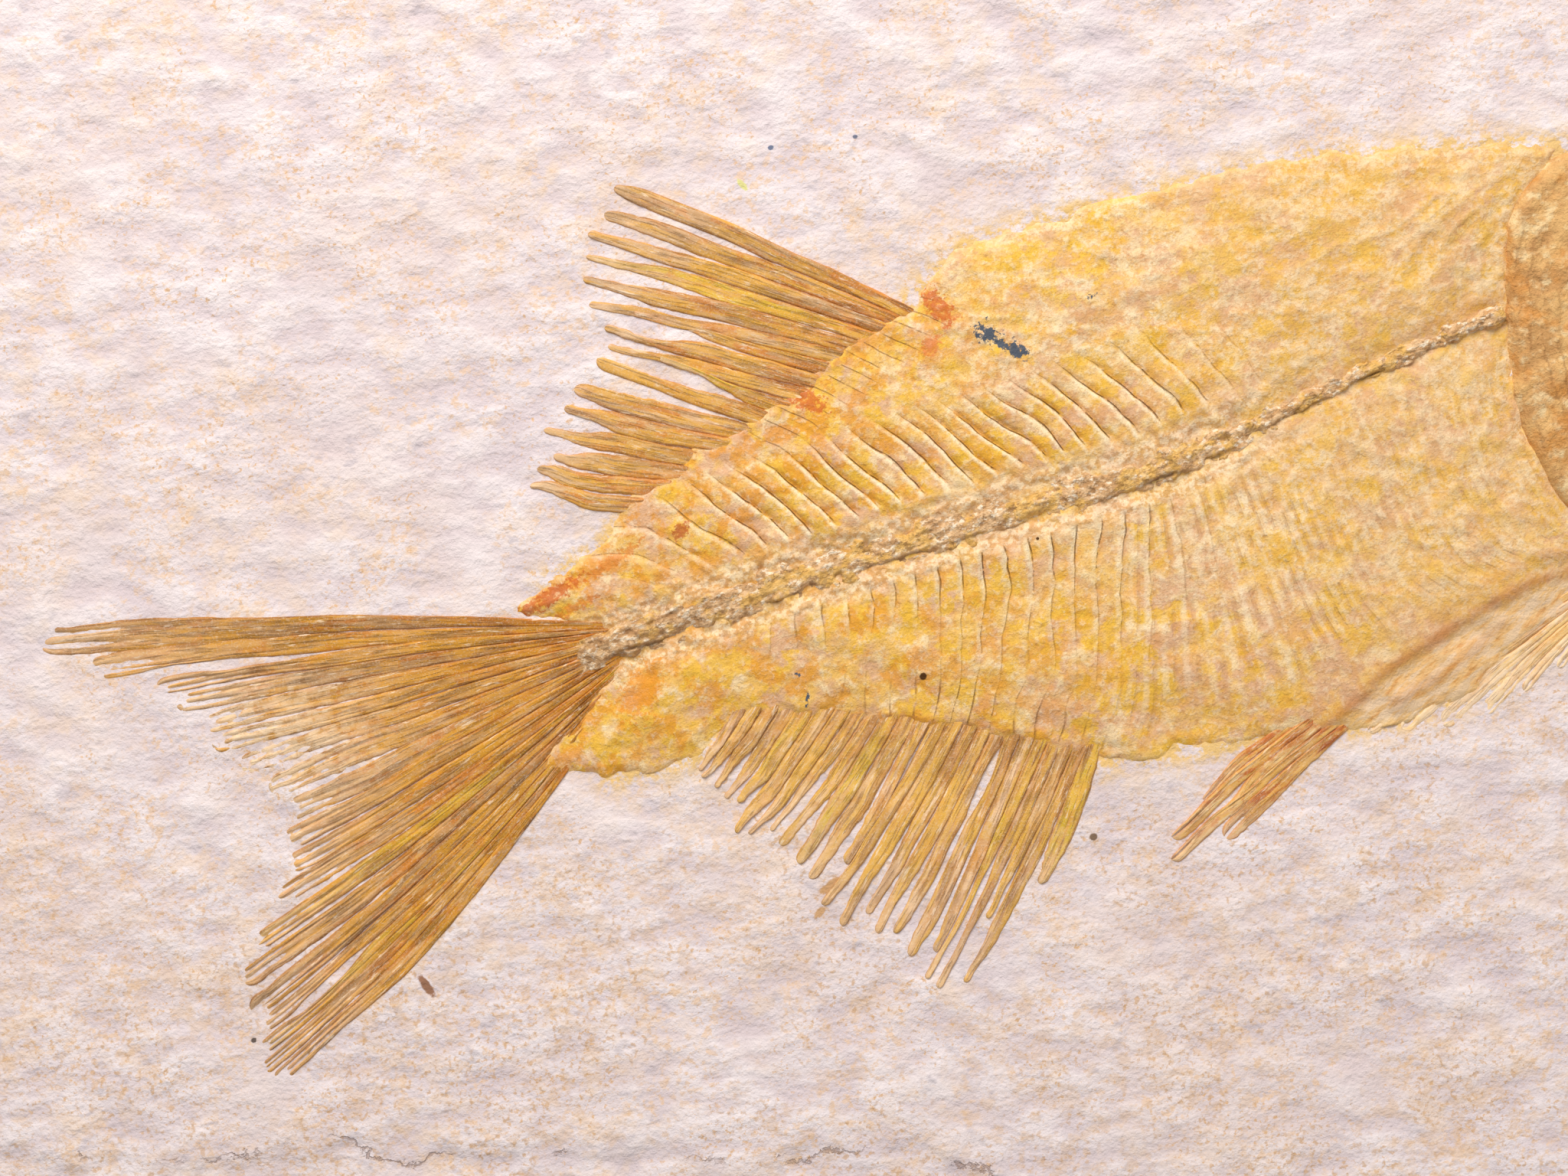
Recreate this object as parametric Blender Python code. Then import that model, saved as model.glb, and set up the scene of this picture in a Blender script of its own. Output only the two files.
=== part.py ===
"""A fossil fish in a slab of pale limestone, lying face up on its back.

The slab is one split plate of rock with broken edges. The fish lies flattened on its side in
shallow beds in the split face: flank, backbone, skull, gill cover, lower jaw and five fins.

The slab's middle is the origin, on the surface that it rests on. +X runs from the fish's tail
to its head, +Y towards its back and +Z up out of the split face. Lengths are millimetres until
a point goes into a mesh, where MM makes them metres. A fish place is (s, t): s along the body
from the tail's root towards the head, t up from the body's axis towards the back.
"""

import math

import bmesh
import bpy
import numpy as np

MM = 0.001

# The slab
SLAB_LENGTH = 188.0
SLAB_WIDTH = 146.0
SLAB_THICKNESS = 13.0
TAIL_ROOT = (-27.5, 1.0)  # where (s, t) = (0, 0) lies on the slab

# The corners of the slab's widest outline, as shares of half its length and width
SLAB_CORNERS = (
    (1.00, -0.26), (0.98, -0.01), (0.95, 0.21), (0.915, 0.40), (0.81, 0.55), (0.61, 0.67),
    (0.34, 0.77), (0.085, 0.85), (-0.19, 0.95), (-0.40, 1.00), (-0.64, 0.98), (-0.735, 0.85),
    (-0.83, 0.52), (-0.915, 0.19), (-1.00, -0.16), (-0.985, -0.44), (-0.895, -0.63),
    (-0.64, -0.71), (-0.32, -0.79), (0.00, -0.89), (0.255, -0.985), (0.425, -1.00),
    (0.555, -0.945), (0.725, -0.81), (0.87, -0.60), (0.96, -0.44),
)
BREAKS_PER_EDGE = 2  # straight breaks between two corners
# Height as a share of the thickness, mean inset and roughness of each level of the broken edge
EDGE_LEVELS = ((0.0, 1.5, 1.0), (0.3, 0.0, 1.6), (0.52, 1.9, 1.6), (0.78, 0.5, 1.4), (1.0, 0.9, 1.3))
FACE_RINGS = (0.94, 0.86, 0.76, 0.62, 0.40)  # rings of the split face, as shares of its rim
SWELL = 0.45  # the split face's rise and fall, away from the fish

# Thin layers of the rock that have flaked off along the edge: depth and outline on the slab
FLAKES = {
    "flake_lower_left": (0.45, ((-99, -14), (-84, -21), (-68, -27), (-60, -28.3), (-56, -31.5), (-46, -34),
                                (-31, -41), (-18, -44), (-9, -52), (-4, -61), (-5, -80), (-99, -80))),
    "flake_lower_right": (3.4, ((99, -18), (87, -22), (77, -31), (74, -40), (61, -46), (53, -56), (49, -80),
                                (99, -80))),
    "flake_upper_left": (2.3, ((-99, 28), (-79, 33), (-71, 44), (-69, 52), (-62, 60), (-60, 80), (-99, 80))),
    "flake_upper_right": (1.5, ((30, 80), (34, 56), (48, 47), (63, 43), (70, 33), (79, 27), (84, 18), (99, 14),
                                (99, 80))),
}

# The fish's own sizes
VERTEBRAE = 34  # between the tail's root and the gill cover
SPINE_START, SPINE_END = 3.0, 75.0
BACKBONE_HALF_WIDTH = 1.15
GROOVE_HALF_WIDTH = 1.5
GAP = 0.3  # between neighbours, and between each piece and its bed
BODY_BED, FIN_BED = 0.8, 0.6  # depths of the beds below the split face
CLEAR = 0.8  # from a fin's root to the flank
GILL_CLEAR = 1.2  # from the gill cover to the flank

# Outlines of the flank, as (s, t)
BACK = (
    (-8, 4.7), (-2, 6.4), (3, 7.6), (8, 11.2), (14, 12.3), (20, 13.6), (28, 16.4), (31.5, 17.2),
    (34, 18.2), (38, 19.9), (46, 19.4), (56, 18.2), (66, 17.0), (74, 14.5), (80, 12.8), (85, 10.8),
)
BELLY = (
    (-8, -7.6), (-3, -10.3), (4, -11.2), (8, -9.6), (12, -10.5), (16, -12.6), (20, -14.2),
    (24, -16.4), (28, -18.6), (32, -21.2), (34, -22.4), (38, -23.4), (42, -24.0), (50, -24.6),
    (54, -24.3), (58, -23.2), (66, -21.9), (74, -20.8), (80, -20.5),
)
# The gill cover's rear edge from the top down, then its lower and front edges
GILL_REAR = (
    (84.2, 10.2), (81.0, 8.8), (78.8, 7.0), (77.4, 4.5), (76.3, 1.5), (75.1, -2.0), (74.2, -6.0),
    (73.9, -10.0), (74.3, -14.0), (75.8, -17.5), (78.8, -19.8),
)
GILL_FRONT = ((84.0, -17.2), (88.4, -12.4), (88.2, -7.0), (87.6, -1.0), (87.0, 4.5), (86.2, 8.8))
GILL_CENTRE = (81.8, -4.5)
SKULL_TOP = ((85.2, 10.3), (88.0, 9.9), (92.0, 8.4), (96.0, 6.2), (100.0, 3.4), (103.0, 0.6), (104.4, -1.6))
SKULL_MOUTH = ((103.6, -3.3), (100.0, -5.0), (96.0, -7.0), (92.5, -9.4), (89.4, -11.8))
SKULL_REAR = ((88.9, -7.0), (88.3, -1.0), (87.7, 4.6), (86.9, 8.9))
EYE_CENTRE = (95.4, 0.6)
EYE_RADIUS = 2.7
JAW_PATH = ((80.9, -21.5), (93.5, -14.2), (102.8, -5.7))
JAW_HALF_WIDTH = 1.5

# The tips of each fin's rays, from the fin's front edge to its rear, or from the top down
DORSAL_TIPS = (
    (13.6, 33.2), (12.3, 31.7), (10.5, 30.6), (9.9, 29.2), (8.9, 27.4), (8.6, 25.3), (11.6, 23.7),
    (9.2, 23.3), (9.0, 21.9), (12.3, 19.6), (7.8, 21.2), (5.2, 19.5), (3.9, 18.3), (2.1, 17.6),
    (2.0, 15.3), (0.3, 14.6), (-0.6, 13.7),
)
ANAL_TIPS = (
    (26.0, -29.4), (18.0, -34.8), (21.3, -30.6), (15.7, -34.3), (15.2, -33.4), (16.5, -31.6),
    (14.6, -31.3), (14.0, -29.1), (12.7, -28.6), (12.5, -26.9), (10.3, -27.1), (9.5, -25.1),
    (12.5, -22.9), (9.3, -22.8), (8.8, -21.3), (8.0, -19.5), (7.7, -18.2), (6.1, -18.0),
    (5.1, -17.4), (6.0, -15.1), (5.2, -14.5), (4.8, -13.5), (4.1, -12.4), (4.0, -11.7),
)
TAIL_TIPS = (
    (-41.0, 15.5), (-38.3, 12.0), (-33.6, 8.9), (-32.6, 7.2), (-31.2, 4.8), (-31.0, 3.0),
    (-29.6, 1.0), (-28.0, -1.4), (-27.8, -3.9), (-28.6, -5.8), (-28.8, -7.7), (-30.6, -9.9),
    (-33.2, -12.6), (-35.3, -15.0), (-35.5, -17.5), (-35.4, -18.9), (-36.0, -20.8),
    (-36.2, -22.1), (-35.5, -23.4),
)
TAIL_FORK = 8  # the ray at the bottom of the tail's notch
PELVIC_TIPS = ((40.3, -27.6), (37.0, -29.6), (41.6, -29.6), (36.4, -31.2), (41.0, -31.3))
PECTORAL_TIPS = (
    (53.0, -26.2), (54.4, -27.3), (57.0, -28.1), (60.0, -28.8), (63.5, -29.0), (67.0, -28.6),
    (70.0, -27.6),
)

LIMESTONE = ((0.86, 0.80, 0.77), 0.9)
FLANK_OCHRE = ((0.72, 0.46, 0.15), 0.6)
BONE_BROWN = ((0.50, 0.36, 0.20), 0.65)
HEAD_TAN = ((0.60, 0.40, 0.19), 0.6)
FIN_AMBER = ((0.55, 0.33, 0.11), 0.6)
PELVIC_RUST = ((0.56, 0.24, 0.07), 0.6)


def clear_scene():
    for obj in list(bpy.data.objects):
        bpy.data.objects.remove(obj, do_unlink=True)


def material(name, look):
    colour, roughness = look
    made = bpy.data.materials.new(name)
    made.use_nodes = True
    shader = made.node_tree.nodes["Principled BSDF"]
    shader.inputs["Base Color"].default_value = (*colour, 1)
    shader.inputs["Roughness"].default_value = roughness
    shader.inputs["Metallic"].default_value = 0
    return made


def new_object(name, mesh, look=None):
    data = bpy.data.meshes.new(name)
    mesh.to_mesh(data)
    mesh.free()
    obj = bpy.data.objects.new(name, data)
    bpy.context.scene.collection.objects.link(obj)
    if look:
        data.materials.append(look)
    return obj


def smooth_step(low, high, x):
    """0 up to low, 1 from high on, and 3r^2 - 2r^3 between, with r the share of the way."""
    r = np.clip((np.asarray(x, float) - low) / (high - low), 0, 1)
    return r * r * (3 - 2 * r)


def jitter(*numbers):
    """A fixed scatter from 0 to 1 that depends on the numbers, from the fraction of a large sine."""
    wave = sum(n * f for n, f in zip(numbers, (12.9898, 78.233, 37.719)))
    return (math.sin(wave) * 43758.5453) % 1.0


def level(stations, s):
    """The outline's t at s, straight between its stations."""
    places, heights = zip(*stations)
    return np.interp(s, places, heights)


def on_slab(points):
    """Fish places (s, t) as places on the slab."""
    return np.asarray(points, float) + TAIL_ROOT


def bezier(start, bend, end, w):
    """The quadratic curve from start to end that is pulled towards bend, at shares w of its way."""
    w = np.asarray(w, float)[..., None]
    start, bend, end = (np.asarray(p, float) for p in (start, bend, end))
    return (1 - w) ** 2 * start + 2 * w * (1 - w) * bend + w**2 * end


def raised_sheet(name, places, heights, faces, floor, look):
    """A closed solid with the sheet of faces as its top, upright walls and a flat floor."""
    mesh = bmesh.new()
    corners = [mesh.verts.new((x * MM, y * MM, z * MM)) for (x, y), z in zip(places, heights)]
    sheet = [mesh.faces.new([corners[i] for i in face]) for face in faces]
    bmesh.ops.recalc_face_normals(mesh, faces=sheet)
    if sheet[0].normal.z < 0:
        bmesh.ops.reverse_faces(mesh, faces=sheet)
    made = bmesh.ops.extrude_face_region(mesh, geom=sheet, use_keep_orig=True)["geom"]
    lower = [item for item in made if isinstance(item, bmesh.types.BMVert)]
    for vert in lower:
        vert.co.z = floor * MM
    underside = [item for item in made if isinstance(item, bmesh.types.BMFace)]
    bmesh.ops.dissolve_faces(mesh, faces=underside, use_verts=False)
    bmesh.ops.recalc_face_normals(mesh, faces=mesh.faces[:])
    return new_object(name, mesh, look)


def grid_faces(columns, rows):
    """The quads of a grid whose points run down each column in turn."""
    return [
        (c * rows + r, (c + 1) * rows + r, (c + 1) * rows + r + 1, c * rows + r + 1)
        for c in range(columns - 1)
        for r in range(rows - 1)
    ]


def prism(name, outline, low, high, look=None):
    """An upright solid between two heights, with the outline (x, y) as its plan."""
    mesh = bmesh.new()
    ring = [mesh.verts.new((x * MM, y * MM, low * MM)) for x, y in outline]
    base = mesh.faces.new(ring)
    made = bmesh.ops.extrude_face_region(mesh, geom=[base], use_keep_orig=True)["geom"]
    upper = [item for item in made if isinstance(item, bmesh.types.BMVert)]
    bmesh.ops.translate(mesh, verts=upper, vec=(0, 0, (high - low) * MM))
    bmesh.ops.recalc_face_normals(mesh, faces=mesh.faces[:])
    return new_object(name, mesh, look)


def cut(obj, cutter):
    cutter.hide_render = True
    cutter.display_type = "WIRE"
    modifier = obj.modifiers.new(cutter.name, "BOOLEAN")
    modifier.operation = "DIFFERENCE"
    modifier.solver = "EXACT"
    modifier.object = cutter


def grown(outline, by):
    """The outline (anticlockwise) with each corner moved out along the mean of its two edges' normals."""
    ring = np.asarray(outline, float)
    edges = np.roll(ring, -1, axis=0) - ring
    normals = np.stack([edges[:, 1], -edges[:, 0]], 1)
    normals /= np.linalg.norm(normals, axis=1)[:, None]
    corner = normals + np.roll(normals, 1, axis=0)
    return ring + by * corner / np.linalg.norm(corner, axis=1)[:, None]


def hull(points):
    """The convex outline around the points, anticlockwise, by walking the sorted points twice."""
    ordered = sorted(map(tuple, np.round(points, 3)))

    def half(walk):
        chain = []
        for p in walk:
            while len(chain) > 1 and np.cross(
                np.append(np.subtract(chain[-1], chain[-2]), 0), np.append(np.subtract(p, chain[-2]), 0)
            )[2] <= 0:
                chain.pop()
            chain.append(p)
        return chain[:-1]

    return np.array(half(ordered) + half(ordered[::-1]))


def slab_rim():
    """The widest outline of the slab: each edge between two corners in short straight breaks."""
    corners = np.array(SLAB_CORNERS) * (SLAB_LENGTH / 2, SLAB_WIDTH / 2)
    following = np.roll(corners, -1, axis=0)
    shares = np.arange(BREAKS_PER_EDGE) / BREAKS_PER_EDGE
    return (corners[:, None] + shares[None, :, None] * (following - corners)[:, None]).reshape(-1, 2)


def split_face_height(x, y):
    """The split face: level around the fish, with long low swells of a few waves beyond it."""
    from_fish = np.hypot((x - 2) / 88, (y - 0) / 50)
    swell = np.sin(x / 17 + 1.3 * np.sin(y / 23)) + 0.7 * np.sin(y / 13 - x / 31 + 2.0)
    return SLAB_THICKNESS + SWELL * (swell - 1.0) / 2 * smooth_step(0.95, 1.35, from_fish)


def make_slab(look):
    """Rings of points from the resting face up the broken edge and in over the split face."""
    rim = slab_rim()
    count = len(rim)
    away = rim / np.linalg.norm(rim, axis=1)[:, None]
    rings = []
    for number, (share, inset, rough) in enumerate(EDGE_LEVELS):
        held = np.array([jitter(i, number) for i in range(count)])
        if inset == 0:
            held[::BREAKS_PER_EDGE] = 0  # the corners reach the slab's full length and width
        ring = rim - away * (inset + rough * held)[:, None]
        height = np.full(count, share * SLAB_THICKNESS)
        if 0 < share < 1:
            height += np.array([jitter(i, number, 5) - 0.5 for i in range(count)]) * 1.2
        rings.append((ring, height))
    top = rings.pop()[0]
    rings += [(top * share, split_face_height(*(top * share).T)) for share in (1.0, *FACE_RINGS)]

    mesh = bmesh.new()
    loops = [
        [mesh.verts.new((x * MM, y * MM, z * MM)) for (x, y), z in zip(*ring)] for ring in rings
    ]
    mesh.faces.new(loops[0][::-1])
    for lower, upper in zip(loops, loops[1:]):
        for i in range(count):
            j = (i + 1) % count
            mesh.faces.new((lower[i], lower[j], upper[j], upper[i]))
    mesh.faces.new(loops[-1])
    bmesh.ops.recalc_face_normals(mesh, faces=mesh.faces[:])
    bmesh.ops.triangulate(mesh, faces=mesh.faces[:])
    return new_object("slab", mesh, look)


def spine_height(s):
    """The backbone's own line: 1 below the axis, sagging to 2 amidships and rising to the head."""
    return -1.0 - 1.1 * np.exp(-(((s - 46) / 11) ** 2)) + 0.8 * smooth_step(56, 74, s)


def flank_point(s0, h):
    """Where the column that leaves the backbone at s0 has climbed by h (down where h < 0).

    Columns follow the spines and ribs: they lean back more and more above the backbone, lie
    along the tail's root at the tail end, and follow the gill cover's rear edge at the head.
    """
    up, down = np.maximum(h, 0), np.maximum(-h, 0)
    t = spine_height(s0) + h
    spine = -(0.2 * up + 0.05 * np.minimum(up, 8) ** 2 + 0.6 * np.maximum(up - 8, 0)) - 0.25 * down
    tail = -(0.1 * up + 0.3 * up**2) - (0.99 * down + 0.047 * down**2)
    gill = np.interp(t, [p[1] for p in GILL_REAR[::-1]], [p[0] for p in GILL_REAR[::-1]])
    gill = gill - GILL_CLEAR - SPINE_END
    at_tail = 1 - smooth_step(SPINE_START, 16, s0)
    at_gill = smooth_step(46, SPINE_END, s0)
    return s0 + at_tail * tail + at_gill * gill + (1 - at_tail - at_gill) * spine, t


def edge_height(s0, outline, side):
    """How far the columns climb before they meet the outline, found by halving the interval."""
    low, high = np.zeros_like(s0), np.full_like(s0, 30.0)
    for _ in range(40):
        middle = (low + high) / 2
        s, t = flank_point(s0, side * middle)
        outside = side * (t - level(outline, s)) > 0
        low, high = np.where(outside, low, middle), np.where(outside, middle, high)
    return low


def make_body(look):
    """The flank: a low dome with a ridge along every spine and rib, and a groove for the backbone."""
    s0 = np.linspace(SPINE_START, SPINE_END, 2 * VERTEBRAE + 1)
    lip = GROOVE_HALF_WIDTH + 0.2
    shares = (0.0, 0.22, 0.46, 0.7, 0.9, 1.0)
    upper = edge_height(s0, BACK, 1)
    lower = edge_height(s0, BELLY, -1)
    ridge = np.where(np.arange(len(s0)) % 2, 0.16, -0.06)
    floor, rows = SLAB_THICKNESS - BODY_BED + GAP, []
    for share in shares[::-1]:
        rows.append((-(lip + share * (lower - lip)), 0.35 + 0.65 * (1 - share**2) + ridge * (share < 1)))
    for foot in (-GROOVE_HALF_WIDTH, GROOVE_HALF_WIDTH):
        rows.append((np.full_like(s0, foot), np.full_like(s0, 0.1)))
    for share in shares:
        rows.append((lip + share * (upper - lip), 0.35 + 0.65 * (1 - share**2) + ridge * (share < 1)))
    places = np.stack([np.stack(flank_point(s0, h), -1) for h, _ in rows], 1)
    heights = SLAB_THICKNESS + np.stack([np.broadcast_to(z, s0.shape) for _, z in rows], 1)
    faces = grid_faces(len(s0), len(rows))
    return raised_sheet("body", on_slab(places).reshape(-1, 2), heights.ravel(), faces, floor, look)


def make_backbone(look):
    """Vertebrae in a row: wide high rims with a narrow low waist between each two."""
    s = np.linspace(SPINE_START, SPINE_END - GILL_CLEAR, 2 * VERTEBRAE + 1)
    rim = np.arange(len(s)) % 2 == 0
    taper = 0.55 + 0.45 * smooth_step(SPINE_START, 9, s)
    half = BACKBONE_HALF_WIDTH * taper * np.where(rim, 1.0, 0.82)
    crest = 0.6 + np.where(rim, 0.75, 0.5) * taper
    across = ((-1.0, 0.55), (-0.45, 1.0), (0.45, 1.0), (1.0, 0.55))
    places = np.stack([np.stack([s, spine_height(s) + a * half], -1) for a, _ in across], 1)
    heights = SLAB_THICKNESS + np.stack([crest * z for _, z in across], 1)
    floor = SLAB_THICKNESS + 0.1 + GAP
    faces = grid_faces(len(s), len(across))
    return raised_sheet("backbone", on_slab(places).reshape(-1, 2), heights.ravel(), faces, floor, look)


def make_plate(name, outline, centre, rings, look):
    """A bone plate as rings about its centre: each ring is a share of the way out and a height.

    A ring whose share is over 1 is a round one of that radius, as round the eye.
    """
    outline = np.asarray(outline, float)
    middle = (outline + np.roll(outline, -1, axis=0)) / 2
    outline = np.stack([outline, middle], 1).reshape(-1, 2)
    centre = np.asarray(centre, float)
    reach = outline - centre
    unit = reach / np.linalg.norm(reach, axis=1)[:, None]
    places, heights = [centre[None]], [np.array([rings[0][1]])]
    for share, height in rings:
        places.append(centre + (unit * share if share > 1 else reach * share))
        heights.append(np.full(len(outline), height))
    count = len(outline)
    faces = [(0, 1 + i, 1 + (i + 1) % count) for i in range(count)]
    for ring in range(len(rings) - 1):
        first = 1 + ring * count
        for i in range(count):
            j = (i + 1) % count
            faces.append((first + i, first + count + i, first + count + j, first + j))
    places = on_slab(np.concatenate(places))
    heights = SLAB_THICKNESS + np.concatenate(heights)
    return raised_sheet(name, places, heights, faces, SLAB_THICKNESS - BODY_BED + GAP, look)


def make_head(look):
    gill = GILL_REAR + GILL_FRONT
    make_plate("gill_cover", gill, GILL_CENTRE, ((0.35, 1.35), (0.72, 1.2), (0.93, 0.95), (1.0, 0.5)), look)
    skull = SKULL_TOP + SKULL_MOUTH + SKULL_REAR
    eye = ((1.2, 0.25), (EYE_RADIUS * 0.75, 0.3), (EYE_RADIUS, 1.25))
    make_plate("skull", skull[::-1], EYE_CENTRE, (*eye, (0.75, 1.05), (0.95, 0.85), (1.0, 0.5)), look)
    w = np.linspace(0, 1, 9)
    line = bezier(*JAW_PATH, w)
    along = np.gradient(line, axis=0)
    side = np.stack([-along[:, 1], along[:, 0]], 1) / np.linalg.norm(along, axis=1)[:, None]
    half = JAW_HALF_WIDTH * (0.45 + 0.55 * np.sin(math.pi * w))
    across = ((-1.0, 0.5), (-0.4, 1.1), (0.5, 1.0), (1.0, 0.5))
    places = np.stack([line + side * (a * half)[:, None] for a, _ in across], 1)
    heights = SLAB_THICKNESS + np.stack([np.full(len(w), z) for _, z in across], 1)
    floor = SLAB_THICKNESS - BODY_BED + GAP
    faces = grid_faces(len(w), len(across))
    raised_sheet("lower_jaw", on_slab(places).reshape(-1, 2), heights.ravel(), faces, floor, look)


def fan_lines(roots, tips, bows, w):
    """Each ray's line at shares w of its way: a curve from root to tip, bowed sideways at half way."""
    roots, tips = np.asarray(roots, float), np.asarray(tips, float)
    along = tips - roots
    side = np.stack([-along[:, 1], along[:, 0]], 1) / np.linalg.norm(along, axis=1)[:, None]
    bends = (roots + tips) / 2 + side * 2 * np.asarray(bows)[:, None]
    return np.stack([bezier(r, b, e, w) for r, b, e in zip(roots, bends, tips)])


def make_fin(name, roots, tips, bows, web, stations, look):
    """A fan of tapered rays with a low film between them up to the share web of their length.

    Each ray is a strip with a crest and two lower edges. The edges lie between the ray's own line
    and its neighbours', so that rays never cross, and draw together at the tip.
    """
    w = np.concatenate([np.linspace(0, web, stations), np.linspace(web, 1, stations)[1:]])
    lines = fan_lines(roots, tips, bows, w)
    count = len(lines)
    beyond = np.concatenate([2 * lines[:1] - lines[1:2], lines, 2 * lines[-1:] - lines[-2:-1]])
    spread = np.interp(w, (0, web, 0.93, 1), (0.3, 0.42, 0.36, 0.1))[:, None]
    places, heights = [], []
    for i in range(count):
        line, before, after = beyond[i + 1], beyond[i], beyond[i + 2]
        places += [line + spread * (before - line), line, line + spread * (after - line)]
        crest = np.interp(w, (0, 0.2, 0.9, 1), (0.5, 0.42, 0.34, 0.18))
        heights += [np.full(len(w), 0.14), crest, np.full(len(w), 0.14)]
    rows = len(w)
    faces = []
    for column in range(3 * count - 1):
        between_rays = column % 3 == 2
        for row in range(stations - 1 if between_rays else rows - 1):
            a = column * rows + row
            faces.append((a, a + rows, a + rows + 1, a + 1))
    places = on_slab(np.concatenate(places))
    heights = SLAB_THICKNESS + np.concatenate(heights)
    floor = SLAB_THICKNESS - FIN_BED + GAP
    raised_sheet(name, places, heights, faces, floor, look)
    return places


def fin_bed(name, places, inwards):
    """A cutter for a fin's bed: the hull of the fin and of its root moved into the fish."""
    shape = grown(hull(np.concatenate([places, on_slab(inwards)])), 0.7)
    return prism(name, shape, SLAB_THICKNESS - FIN_BED, SLAB_THICKNESS + 5)


def make_fins(amber, rust):
    """Builds the five fins and returns the cutters of their beds."""
    beds = []
    order = np.arange(len(DORSAL_TIPS))
    root_s = 31.3 - 0.95 * order - 0.036 * order**2  # closer together at the front
    roots = np.stack([root_s, level(BACK, root_s) + CLEAR], 1)
    places = make_fin("dorsal_fin", roots, DORSAL_TIPS, np.linspace(-0.3, 0.4, len(order)), 0.45, 3, amber)
    beds.append(fin_bed("dorsal_bed", places, roots - (0, 1.5)))

    order = np.arange(len(ANAL_TIPS))
    root_s = 33.0 - 0.8 * order - 0.0125 * order**2
    roots = np.stack([root_s, level(BELLY, root_s) - CLEAR], 1)
    places = make_fin("anal_fin", roots, ANAL_TIPS, np.full(len(order), 0.25), 0.5, 3, amber)
    beds.append(fin_bed("anal_bed", places, roots + (0, 1.5)))

    count = len(TAIL_TIPS)
    roots = bezier((1.2, 0.5), (1.5, -1.0), (0.5, -2.5), np.linspace(0, 1, count))
    places = make_fin("tail_fin", roots, TAIL_TIPS, np.linspace(-0.8, 1.4, count), 0.6, 4, amber)
    per_ray = 3 * len(places) // (3 * count)
    upper, lower = places[: (TAIL_FORK + 1) * per_ray], places[TAIL_FORK * per_ray :]
    beds.append(fin_bed("tail_upper_bed", upper, roots + (2.4, 0)))
    beds.append(fin_bed("tail_lower_bed", lower, roots + (2.4, 0)))

    roots = bezier((50.3, -25.5), (51.2, -26.4), (50.6, -27.4), np.linspace(0, 1, len(PELVIC_TIPS)))
    places = make_fin("pelvic_fin", roots, PELVIC_TIPS, np.full(len(roots), -0.3), 0.5, 3, rust)
    beds.append(fin_bed("pelvic_bed", places, roots + (0, 1.5)))

    roots = bezier((78.2, -21.9), (79.0, -22.5), (78.6, -23.2), np.linspace(0, 1, len(PECTORAL_TIPS)))
    places = make_fin("pectoral_fin", roots, PECTORAL_TIPS, np.linspace(-0.75, -0.2, len(roots)), 0.6, 3, amber)
    beds.append(fin_bed("pectoral_bed", places, roots + (0, 1.5)))
    return beds


def body_bed():
    """The cutter for the bed of flank and head: their joint outline, anticlockwise, a little larger."""
    back = [p for p in BACK if -6 < p[0] < 85][::-1]
    head_top = SKULL_TOP[::-1]
    jaw = grown_jaw_edge()
    belly = [p for p in BELLY if -6 < p[0] < 78]
    end = np.full(5, SPINE_START)
    climb = np.array([-edge_height(end[:1], BELLY, -1)[0], 0, edge_height(end[:1], BACK, 1)[0]])
    tail_side = np.stack(flank_point(end, np.interp(np.arange(5), (0, 2, 4), climb)), 1)
    outline = [tail_side[0], *belly, *jaw, *head_top, *back, *tail_side[:0:-1]]
    return prism("body_bed", grown(on_slab(outline), 2 * GAP), SLAB_THICKNESS - BODY_BED, SLAB_THICKNESS + 5)


def grown_jaw_edge():
    """The lower side of the jaw from its hinge to the chin."""
    line = bezier(*JAW_PATH, np.linspace(0, 1, 6))
    along = np.gradient(line, axis=0)
    below = np.stack([along[:, 1], -along[:, 0]], 1) / np.linalg.norm(along, axis=1)[:, None]
    return [tuple(p) for p in line + below * JAW_HALF_WIDTH]


def main():
    clear_scene()
    limestone = material("limestone", LIMESTONE)
    slab = make_slab(limestone)
    amber, rust = material("fin_amber", FIN_AMBER), material("pelvic_rust", PELVIC_RUST)
    make_body(material("flank_ochre", FLANK_OCHRE))
    make_backbone(material("bone_brown", BONE_BROWN))
    make_head(material("head_tan", HEAD_TAN))
    for cutter in [body_bed(), *make_fins(amber, rust)]:
        cut(slab, cutter)
    for name, (depth, outline) in FLAKES.items():
        cut(slab, prism(name, outline, SLAB_THICKNESS - depth, SLAB_THICKNESS + 5))


main()
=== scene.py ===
"""The finish of a fossil fish that lies in the split face of a slab of pale limestone.

Shapes are worked out in millimetres and put into meshes in metres. The slab's middle is the
origin, +X runs from the fish's tail to its head, +Y towards its back and +Z up out of the rock.
A fish place is (s, t): s along the body from the tail's root, t up towards the back.
"""

import bpy
import numpy as np
from mathutils import Matrix, Vector


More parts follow.
